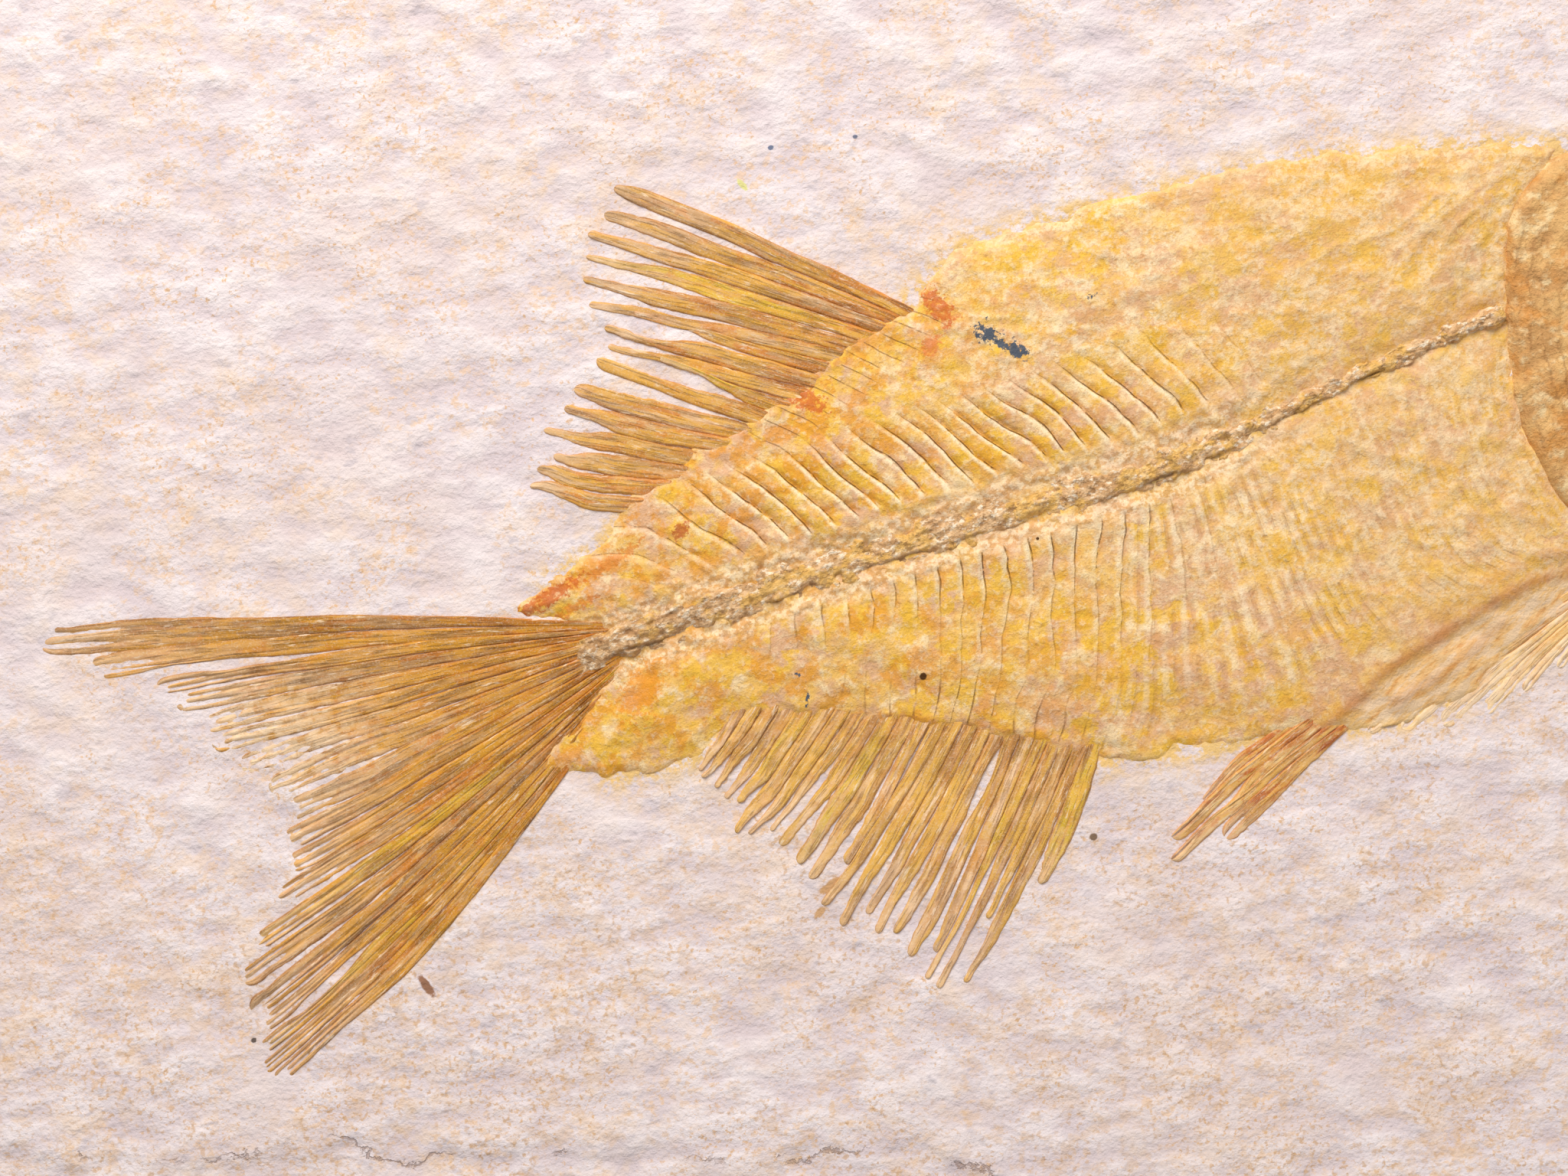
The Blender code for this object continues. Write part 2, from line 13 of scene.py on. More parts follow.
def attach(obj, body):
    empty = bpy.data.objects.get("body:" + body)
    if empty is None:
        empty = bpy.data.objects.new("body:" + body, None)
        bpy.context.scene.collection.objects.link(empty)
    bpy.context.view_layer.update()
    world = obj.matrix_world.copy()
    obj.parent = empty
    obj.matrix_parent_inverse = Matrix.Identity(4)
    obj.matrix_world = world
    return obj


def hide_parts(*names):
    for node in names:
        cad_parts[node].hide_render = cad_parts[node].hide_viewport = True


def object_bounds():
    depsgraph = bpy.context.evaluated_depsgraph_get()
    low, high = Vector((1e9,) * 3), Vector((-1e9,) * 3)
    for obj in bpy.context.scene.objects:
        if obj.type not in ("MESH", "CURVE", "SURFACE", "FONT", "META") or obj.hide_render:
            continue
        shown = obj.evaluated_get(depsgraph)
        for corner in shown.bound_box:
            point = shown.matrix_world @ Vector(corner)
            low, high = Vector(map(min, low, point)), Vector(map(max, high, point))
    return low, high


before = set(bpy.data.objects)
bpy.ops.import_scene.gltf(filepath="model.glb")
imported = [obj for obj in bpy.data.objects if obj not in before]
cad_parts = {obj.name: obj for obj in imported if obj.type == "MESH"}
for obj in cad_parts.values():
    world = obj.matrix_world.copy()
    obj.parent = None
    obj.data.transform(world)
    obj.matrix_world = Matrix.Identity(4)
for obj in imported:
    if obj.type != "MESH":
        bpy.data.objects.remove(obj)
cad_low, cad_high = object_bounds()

MM = 0.001
TAU = 2 * np.pi

# The slab
HALF_LENGTH, HALF_WIDTH = cad_high.x / MM, cad_high.y / MM
FACE = 13.0  # height of the split face
FACE_GRID = (308, 244)  # points along and across the face
WALL_LEVELS = 22  # rings of points down the broken edge
TAIL_ROOT = np.array((-27.5, 1.0))  # where (s, t) = (0, 0) lies on the slab
# Corners of its outline, as shares of its half length and half width
SLAB_CORNERS = np.array((
    (1.00, -0.26), (0.98, -0.01), (0.95, 0.21), (0.915, 0.40), (0.81, 0.55), (0.61, 0.67),
    (0.34, 0.77), (0.085, 0.85), (-0.19, 0.95), (-0.40, 1.00), (-0.64, 0.98), (-0.735, 0.85),
    (-0.83, 0.52), (-0.915, 0.19), (-1.00, -0.16), (-0.985, -0.44), (-0.895, -0.63),
    (-0.64, -0.71), (-0.32, -0.79), (0.00, -0.89), (0.255, -0.985), (0.425, -1.00),
    (0.555, -0.945), (0.725, -0.81), (0.87, -0.60), (0.96, -0.44),
))
# Height as a share of the thickness and mean inset of each level of the broken edge
EDGE_LEVELS = ((0.0, 2.0), (0.3, 0.6), (0.52, 2.7), (0.78, 1.2), (1.0, 1.5))
BED_THICKNESS = 1.15  # of the thin layers that the broken edge shows
# Layers flaked off along the edge: depth and outline on the slab
FLAKES = (
    (0.18, ((-99, -14), (-84, -21), (-68, -27), (-60, -28.3), (-56, -31.5), (-46, -34), (-31, -41),
            (-18, -44), (-9, -52), (-4, -61), (-5, -80), (-99, -80))),
    (3.4, ((99, -18), (87, -22), (77, -31), (74, -40), (61, -46), (53, -56), (49, -80), (99, -80))),
    (2.3, ((-99, 28), (-79, 33), (-71, 44), (-69, 52), (-62, 60), (-60, 80), (-99, 80))),
    (1.5, ((30, 80), (34, 56), (48, 47), (63, 43), (70, 33), (79, 27), (84, 18), (99, 14), (99, 80))),
)

# The fish
PITCH = 72.0 / 38  # from one vertebra to the next
FIRST_JOINT = 3.0  # where one vertebra meets the next
SPINE_START, SPINE_END = 1.0, 75.2
BACK = np.array((
    (-8, 4.7), (-2, 6.4), (3, 7.6), (8, 11.2), (14, 12.3), (20, 13.6), (28, 16.4), (31.5, 17.2),
    (34, 18.2), (38, 19.9), (46, 19.4), (56, 18.2), (66, 17.0), (74, 14.5), (80, 12.8), (85, 10.8),
))
BELLY = np.array((
    (-8, -7.6), (-3, -10.3), (4, -11.2), (8, -9.6), (12, -10.5), (16, -12.6), (20, -14.2),
    (24, -16.4), (28, -18.6), (32, -21.2), (34, -22.4), (38, -23.5), (42, -24.4), (46, -25.2),
    (50, -26.0), (54, -27.0), (58, -27.7), (64, -27.3), (70, -25.2), (76, -22.6), (80, -20.5),
))
GILL_REAR = np.array((
    (84.2, 10.2), (81.0, 8.8), (78.8, 7.0), (77.4, 4.5), (76.3, 1.5), (75.1, -2.0), (74.2, -6.0),
    (73.9, -10.0), (74.3, -14.0), (75.8, -17.5), (78.8, -19.8),
))
GILL_FRONT = ((84.3, -17.8), (88.8, -12.9), (88.5, -7.0), (87.9, -1.0), (87.3, 4.5), (86.5, 8.8))
GILL_CENTRE = (81.8, -4.5)
SKULL = (
    (85.2, 10.3), (88.0, 9.9), (92.0, 8.4), (96.0, 6.2), (100.0, 3.4), (103.0, 0.6), (104.4, -1.6),
    (103.8, -3.6), (100.4, -5.8), (96.4, -7.9), (92.9, -10.3), (89.4, -12.9), (88.4, -7.0),
    (87.8, -1.0), (87.2, 4.6), (86.4, 8.9),
)
EYE_CENTRE = (95.4, 0.6)
EYE_RADIUS = 2.7
JAW_PATH = ((80.9, -21.5), (93.5, -14.2), (102.8, -5.7))
JAW_HALF_WIDTH = 1.5

# Tips of each fin's rays, from the fin's front edge to its rear, or from the top down
DORSAL_TIPS = (
    (13.6, 33.2), (12.3, 31.7), (10.5, 30.6), (9.9, 29.2), (8.9, 27.4), (8.6, 25.3), (11.6, 23.7),
    (9.2, 23.3), (9.0, 21.9), (12.3, 19.6), (7.8, 21.2), (5.2, 19.5), (3.9, 18.3), (2.1, 17.6),
    (2.0, 15.3), (0.3, 14.6), (-0.6, 13.7),
)
ANAL_TIPS = (
    (26.0, -29.4), (18.0, -34.8), (21.3, -30.6), (15.7, -34.3), (15.2, -33.4), (16.5, -31.6),
    (14.6, -31.3), (14.0, -29.1), (12.7, -28.6), (12.5, -26.9), (10.3, -27.1), (9.5, -25.1),
    (12.5, -22.9), (9.3, -22.8), (8.8, -21.3), (8.0, -19.5), (7.7, -18.2), (6.1, -18.0),
    (5.1, -17.4), (6.0, -15.1), (5.2, -14.5), (4.8, -13.5), (4.1, -12.4), (4.0, -11.7),
)
TAIL_TIPS = (
    (-41.0, 15.5), (-38.3, 12.0), (-33.6, 8.9), (-32.6, 7.2), (-31.2, 4.8), (-31.0, 3.0),
    (-29.6, 1.0), (-28.0, -1.4), (-27.8, -3.9), (-28.6, -5.8), (-28.8, -7.7), (-30.6, -9.9),
    (-33.2, -12.6), (-35.3, -15.0), (-35.5, -17.5), (-35.4, -18.9), (-36.0, -20.8),
    (-36.2, -22.1), (-35.5, -23.4),
)
PELVIC_TIPS = ((40.3, -27.6), (37.0, -29.6), (41.6, -29.6), (36.4, -31.2), (41.0, -31.3))
PECTORAL_TIPS = (
    (53.0, -26.2), (54.4, -27.3), (57.0, -28.1), (60.0, -28.8), (63.5, -29.0), (67.0, -28.6),
    (70.0, -27.6),
)

# Points along and across the pieces, and how far below the split face their undersides lie
FLANK_GRID, FLANK_SUNK = (420, 220), 0.5
BONE_GRID, BONE_SUNK = (1100, 41), 0.1
RAY_GRID, RAY_SUNK = (104, 21), 0.35
PLATE_GRID, JAW_GRID, HEAD_SUNK = (90, 300), (120, 25), 0.45

# The camera: the photograph's right and up on the slab, and what it frames
PICTURE_RIGHT = Vector((0.938, -0.347, 0.0))
PICTURE_UP = Vector((0.347, 0.938, 0.0))
PICTURE_CENTRE = (15.3, -0.75)  # as (s, t)
PICTURE_WIDTH = 122.9
LENS, SENSOR = 60.0, 36.0

# Lights: how far to the picture's right and top and out of the rock, size, all in metres, and watts
LIGHTS = (("key", (-0.07, 0.36, 0.29), 0.26, 2.33), ("fill", (0.3, -0.5, 0.6), 0.6, 0.7))
LAMP_TINT, ROOM_TINT, ROOM_LIGHT = (1.0, 0.945, 0.91), (1.0, 0.96, 0.96, 1.0), 0.38


def srgb(red, green, blue):
    """A colour given as it looks on screen, 0 to 255 each, in the light values that shaders take."""
    share = np.array((red, green, blue)) / 255
    linear = np.where(share < 0.04045, share / 12.92, ((share + 0.055) / 1.055) ** 2.4)
    return (*map(float, linear), 1.0)


def smooth_step(low, high, x):
    """0 up to low, 1 from high on, and 3r^2 - 2r^3 between, with r the share of the way."""
    r = np.clip((np.asarray(x, float) - low) / (high - low), 0, 1)
    return r * r * (3 - 2 * r)


def span(rise, full, fall, gone, x):
    """0 up to rise, 1 from full to fall and 0 again from gone on, by smooth steps."""
    return smooth_step(rise, full, x) * (1 - smooth_step(fall, gone, x))


def on_slab(s, t):
    """A fish place's x and y on the slab."""
    return s + TAIL_ROOT[0], t + TAIL_ROOT[1]


def scatter(a, b, seed):
    """A fixed scatter from 0 to 1 for whole numbers a and b: the fraction of a large sine of them."""
    wave = np.sin(a * 127.1 + b * 311.7 + seed * 74.7) * 43758.5453
    return wave - np.floor(wave)


def lumps(x, y, size, seed):
    """Smooth lumps from -1 to 1, size across: scatter at a grid's corners, blended by 3r^2 - 2r^3."""
    turn = 0.6 + seed  # each seed turns its grid, so that no two line up
    u = (x * np.cos(turn) - y * np.sin(turn)) / size
    v = (x * np.sin(turn) + y * np.cos(turn)) / size
    column, row = np.floor(u), np.floor(v)
    u, v = u - column, v - row
    u, v = u * u * (3 - 2 * u), v * v * (3 - 2 * v)
    low = scatter(column, row, seed) * (1 - u) + scatter(column + 1, row, seed) * u
    high = scatter(column, row + 1, seed) * (1 - u) + scatter(column + 1, row + 1, seed) * u
    return 2 * (low * (1 - v) + high * v) - 1


def grain(x, y, size, octaves, seed):
    """The sum of lumps over octaves, each about half as wide and 0.55 as high as the last."""
    return sum(0.55**n * lumps(x, y, size / 1.93**n, seed + 1.7 * n) for n in range(octaves))


def level(stations, s):
    """The outline's t at s, straight between its stations."""
    return np.interp(s, stations[:, 0], stations[:, 1])


def bezier(start, bend, end, w):
    """The quadratic curve from start to end that is pulled towards bend, at shares w of its way."""
    w = np.asarray(w, float)[..., None]
    start, bend, end = (np.asarray(p, float) for p in (start, bend, end))
    return (1 - w) ** 2 * start + 2 * w * (1 - w) * bend + w**2 * end


def closed_curve(points, count):
    """A smooth closed curve through the points, by a Catmull-Rom span between each two."""
    points = np.asarray(points, float)
    along = np.arange(count) / count * len(points)
    first = along.astype(int)
    r = (along - first)[:, None]
    a, b, c, d = (points[(first + k) % len(points)] for k in (-1, 0, 1, 2))
    bent = (2 * a - 5 * b + 4 * c - d) * r**2 + (3 * b - a - 3 * c + d) * r**3
    return 0.5 * (2 * b + (c - a) * r + bent)


def path_distance(path, x, y):
    """Distance to an open path: the least of those to its straight pieces."""
    nearest = np.full(np.shape(x), np.inf)
    for (ax, ay), (bx, by) in zip(path, path[1:]):
        share = ((x - ax) * (bx - ax) + (y - ay) * (by - ay)) / ((bx - ax) ** 2 + (by - ay) ** 2)
        share = np.clip(share, 0, 1)
        away = np.hypot(x - ax - share * (bx - ax), y - ay - share * (by - ay))
        nearest = np.minimum(nearest, away)
    return nearest


def distance_to(outline, x, y):
    """Distance to a closed outline, negative inside it.

    A point is inside where the line from it along +X crosses the outline an odd number of times.
    """
    closed = np.concatenate([outline, outline[:1]]).astype(float)
    inside = np.zeros(np.shape(x), bool)
    for (ax, ay), (bx, by) in zip(closed, closed[1:]):
        if ay != by:
            inside ^= ((ay > y) != (by > y)) & (x < (bx - ax) * (y - ay) / (by - ay) + ax)
    nearest = path_distance(closed, x, y)
    return np.where(inside, -nearest, nearest)


def new_piece(name, points, faces, finish, node, values):
    """A mesh from points in millimetres, turned outwards if its volume comes out negative."""
    corners = points[np.array([face[:3] for face in faces])]
    if np.einsum("ij,ij->", corners[:, 0], np.cross(corners[:, 1], corners[:, 2])) < 0:
        faces = [face[::-1] for face in faces]
    mesh = bpy.data.meshes.new(name)
    mesh.from_pydata((points * MM).tolist(), [], faces)
    for label, numbers in values.items():
        flat = numbers.reshape(len(points), -1)
        kind, field = ("FLOAT", "value") if flat.shape[1] == 1 else ("FLOAT_VECTOR", "vector")
        attribute = mesh.attributes.new(label, kind, "POINT")
        attribute.data.foreach_set(field, flat.astype(np.float32).ravel())
    mesh.shade_smooth()
    mesh.materials.append(finish)
    piece = bpy.data.objects.new(name, mesh)
    bpy.context.scene.collection.objects.link(piece)
    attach(piece, "root")
    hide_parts(node)
    return piece


def grid_faces(rows, columns):
    """The quads of a grid of points that lists each row in turn."""
    corner = (np.arange(rows - 1)[:, None] * columns + np.arange(columns - 1)).ravel()
    return np.stack([corner, corner + columns, corner + columns + 1, corner + 1], 1).tolist()


def rim_of(rows, columns):
    """The numbers of a grid's outermost points, once round."""
    number = np.arange(rows * columns).reshape(rows, columns)
    return np.concatenate([number[:-1, 0], number[-1, :-1], number[:0:-1, -1], number[0, :0:-1]])


def shell(name, top, floor, finish, node, values):
    """A closed piece: a grid of points as its top, straight walls from its rim, a flat underside."""
    rows, columns = top.shape[:2]
    rim = rim_of(rows, columns)
    points = top.reshape(-1, 3)
    foot = points[rim].copy()
    foot[:, 2] = floor
    lower = np.arange(len(rim)) + len(points)
    wall = np.stack([np.roll(rim, -1), rim, lower, np.roll(lower, -1)], 1).tolist()
    faces = grid_faces(rows, columns) + wall + [lower[::-1].tolist()]
    spread = {}
    for label, numbers in values.items():
        flat = numbers.reshape(len(points), -1)
        spread[label] = np.concatenate([flat, flat[rim]])
    new_piece(name, np.concatenate([points, foot]), faces, finish, node, spread)


def tubes(name, rings, finish, node, values):
    """Closed bars side by side: rings has the axes bar, station along it and point around it."""
    bars, stations, around = rings.shape[:3]
    k = np.arange(around)
    after = (k + 1) % around
    base = np.arange(stations - 1)[:, None] * around
    skin = np.stack([base + k, base + around + k, base + around + after, base + after], -1).reshape(-1, 4)
    last = (stations - 1) * around
    faces = []
    for bar in range(bars):
        first = bar * stations * around
        faces += (skin + first).tolist()
        faces += [(k + first).tolist(), (k[::-1] + first + last).tolist()]
    new_piece(name, rings.reshape(-1, 3), faces, finish, node, values)


class Finish:
    """A material, its nodes and its tone so far. Most methods add a node and return what it gives."""

    def __init__(self, name, roughness):
        self.material = bpy.data.materials.new(name)
        self.material.use_nodes = True
        self.tree = self.material.node_tree
        self.shader = self.tree.nodes["Principled BSDF"]
        self.shader.inputs["Roughness"].default_value = roughness
        self.shader.inputs["Specular IOR Level"].default_value = 0.25
        metres = self.node("TexCoord").outputs["Object"]
        self.place = self.node("VectorMath", metres, (1 / MM,) * 3, operation="MULTIPLY").outputs[0]
        self.tone = self.frayed = None

    def put(self, socket, value):
        """Gives the socket a plain value or what a node gives."""
        if isinstance(value, bpy.types.NodeSocket):
            self.tree.links.new(value, socket)
        elif value is not None:
            socket.default_value = value

    def node(self, kind, *inputs, **settings):
        made = self.tree.nodes.new("ShaderNode" + kind)
        for key, value in settings.items():
            setattr(made, key, value)
        for socket, value in zip(made.inputs, inputs):
            self.put(socket, value)
        return made

    def math(self, operation, first, second=None):
        return self.node("Math", first, second, operation=operation).outputs[0]

    def times(self, first, second):
        return self.math("MULTIPLY", first, second)

    def rest(self, share):
        """What is left of 1."""
        return self.math("SUBTRACT", 1.0, share)

    def mix(self, share, first, second):
        """From the first colour to the second by share, each as on screen or from a node."""
        made = self.node("Mix", share, data_type="RGBA")
        for socket, shade in zip(made.inputs[6:8], (first, second)):
            self.put(socket, srgb(*shade) if isinstance(shade, tuple) else shade)
        return made.outputs[2]

    def paint(self, share, shade):
        """Lays a colour over the tone so far, by share."""
        self.tone = self.mix(share, self.tone, shade)

    def fade(self, x, low, high, top=1.0):
        """From 0 at low to top at high, by a smooth step."""
        made = self.node("MapRange", x, low, high, 0.0, top, interpolation_type="SMOOTHSTEP")
        return made.outputs[0]

    def noise(self, size, detail=3.0, rough=0.55, stretch=(1, 1, 1), place=None, twist=0.0, shift=0.0):
        """Cloudy noise with lumps of about size millimetres, drawn out along each axis by stretch."""
        scale = tuple(1 / n for n in stretch)
        shifts = (shift, shift * 0.7, 0)
        moved = self.node("Mapping", place or self.place, shifts, (0, 0, 0), scale)
        made = self.node("TexNoise", moved.outputs[0])
        for label, number in (("Scale", 1 / size), ("Detail", detail), ("Roughness", rough),
                              ("Distortion", twist)):
            made.inputs[label].default_value = number
        return made.outputs["Fac"]

    def turned(self, angle, place=None):
        """The place turned by an angle about the vertical, for grain that runs aslant."""
        return self.node("Mapping", place or self.place, (0, 0, 0), (0, 0, angle), (1, 1, 1)).outputs[0]

    def parts(self, vector):
        return self.node("SeparateXYZ", vector).outputs[:3]

    def value(self, label):
        """A piece's own number of that name."""
        return self.node("Attribute", attribute_name=label).outputs["Fac"]

    def values(self, label):
        """A piece's own three numbers of that name."""
        return self.parts(self.node("Attribute", attribute_name=label).outputs["Vector"])

    def noise_vector(self, size, reach):
        """A wandering offset, up to about half of reach along each axis."""
        made = self.node("TexNoise", self.place)
        made.inputs["Scale"].default_value = 1 / size
        middle = self.node("VectorMath", made.outputs["Color"], (0.5, 0.5, 0.5), operation="SUBTRACT")
        reach = (reach, reach, 0)
        return self.node("VectorMath", middle.outputs[0], reach, operation="MULTIPLY").outputs[0]

    def spot(self, centre, radii, turn, ragged):
        """1 inside a turned ellipse about a fish place and 0 outside, with an edge that noise moves."""
        if not self.frayed:
            self.frayed = self.math("SUBTRACT", self.noise(0.45, 4, 0.7, shift=9), 0.5)
        middle = (*on_slab(*centre), 0)
        moved = self.node("VectorMath", self.place, middle, operation="SUBTRACT").outputs[0]
        shape = (1 / radii[0], 1 / radii[1], 0)
        shaped = self.node("VectorMath", self.turned(-turn, moved), shape, operation="MULTIPLY").outputs[0]
        far = self.node("VectorMath", shaped, operation="LENGTH").outputs["Value"]
        edge = self.math("ADD", far, self.times(self.frayed, ragged * 4))
        return self.rest(self.fade(edge, 0.75, 1.15))

    def bump(self, height, depth):
        """Raises the surface by height times depth millimetres, after any bump already there."""
        made = self.node("Bump")
        made.inputs["Strength"].default_value = 1.0
        made.inputs["Distance"].default_value = depth * MM
        self.put(made.inputs["Height"], height)
        normal = self.shader.inputs["Normal"]
        if normal.links:
            self.tree.links.new(normal.links[0].from_socket, made.inputs["Normal"])
        self.tree.links.new(made.outputs[0], normal)

    def done(self):
        """The material, with the tone as its colour."""
        self.put(self.shader.inputs["Base Color"], self.tone)
        return self.material


def limestone():
    """Near-white rock, with painted lavender-grey shade in its hollows, blotched with peach and stained
    near the fish.

    Rust speckles it, a fine crack marks the thin flake's edge, and along the broken edge the thin
    layers show as drawn-out bands.
    """
    f = Finish("limestone", 0.92)
    drawn = dict(stretch=(1.7, 1, 1), place=f.turned(0.3))
    soft, fine = f.noise(2.2, 4, 0.5, **drawn), f.noise(0.5, 4, 0.65)
    # Painted shade: the tone turns lavender-grey where the soft noise that also bumps the face is low
    f.tone = f.mix(f.fade(soft, 0.36, 0.6), (229, 216, 218), (245, 236, 236))
    f.paint(f.fade(f.noise(14, 3, 0.6), 0.44, 0.62, 0.4), (238, 220, 210))
    # Painted shade, lavender-grey, in the face's pits and where its grain is low
    f.paint(f.times(f.value("pit_shade"), 0.3), (208, 192, 198))

    def blotches(size, low, high, cluster, shift, share, shade, **how):
        small = f.fade(f.noise(size, 3, 0.6, shift=shift, **how), low, high)
        together = f.fade(f.noise(cluster, 3, shift=shift + 50), 0.42, 0.6)
        f.paint(f.times(f.times(small, together), share), shade)

    # Rust has crept further over the belly's side of the slab
    crept = f.math("ADD", f.parts(f.place)[1], f.times(f.noise(24, 3, 0.6, shift=510), 60))
    rusty = f.fade(crept, 50, 5)

    blotches(1.8, 0.46, 0.64, 12, 30, 0.5, (243, 217, 188))
    blotches(0.6, 0.5, 0.64, 6, 40, 0.65, (238, 202, 162))
    blotches(0.38, 0.56, 0.68, 7, 170, 0.75, (222, 176, 118))
    blotches(0.5, 0.53, 0.66, 9, 430, f.times(rusty, 0.7), (212, 170, 120))
    blotches(1.6, 0.5, 0.62, 10, 470, f.times(rusty, 0.4), (226, 190, 148))
    blotches(1.0, 0.54, 0.7, 8, 300, 0.55, (198, 190, 196), **drawn)
    stain = f.times(f.value("stain"), f.fade(f.noise(0.9, 4, 0.7, shift=330), 0.4, 0.6))
    f.paint(f.math("MINIMUM", stain, 0.9), (241, 200, 118))
    wander = f.times(f.math("SUBTRACT", f.noise(2.6, 5, 0.65, shift=210), 0.5), 5.0)
    near = f.math("ABSOLUTE", f.math("ADD", f.value("ledge"), wander))
    broken = f.fade(f.noise(5.0, 3, 0.6, shift=220), 0.44, 0.56)
    crack = f.times(f.rest(f.fade(near, 0.04, 0.2)), broken)
    f.paint(f.times(crack, 0.65), (168, 138, 122))
    walls = f.value("walls")
    layers = f.noise(0.9, 4, 0.6, stretch=(14, 14, 0.7), shift=8)
    f.paint(f.times(walls, f.fade(layers, 0.5, 0.66, 0.6)), (222, 198, 172))
    for centre, radii, turn, shade in (
        ((-21.8, -20.3), (0.35, 1.1), 0.3, (160, 118, 92)),
        ((-36.0, -19.6), (0.25, 0.2), 0.0, (105, 92, 85)),
        ((31.3, -27.5), (0.34, 0.3), 0.0, (135, 112, 90)),
        ((26.3, 32.0), (0.25, 0.2), 0.0, (120, 130, 155)),
        ((32.8, 30.5), (0.2, 0.16), 0.0, (125, 130, 150)),
        ((23.2, 30.0), (0.25, 0.6), 0.4, (228, 224, 150)),
        ((7.3, 12.9), (1.5, 0.4), -0.45, (214, 168, 112)),
        ((10.7, -23.9), (1.3, 0.4), 0.3, (208, 164, 116)),
        ((9.1, -25.6), (0.6, 0.3), 0.5, (212, 170, 124)),
    ):
        f.paint(f.spot(centre, radii, turn, 0.3), shade)
    f.bump(soft, 0.4)
    f.bump(fine, 0.15)
    f.bump(f.rest(crack), 0.08)
    f.bump(f.times(walls, layers), 0.7)
    return f.done()


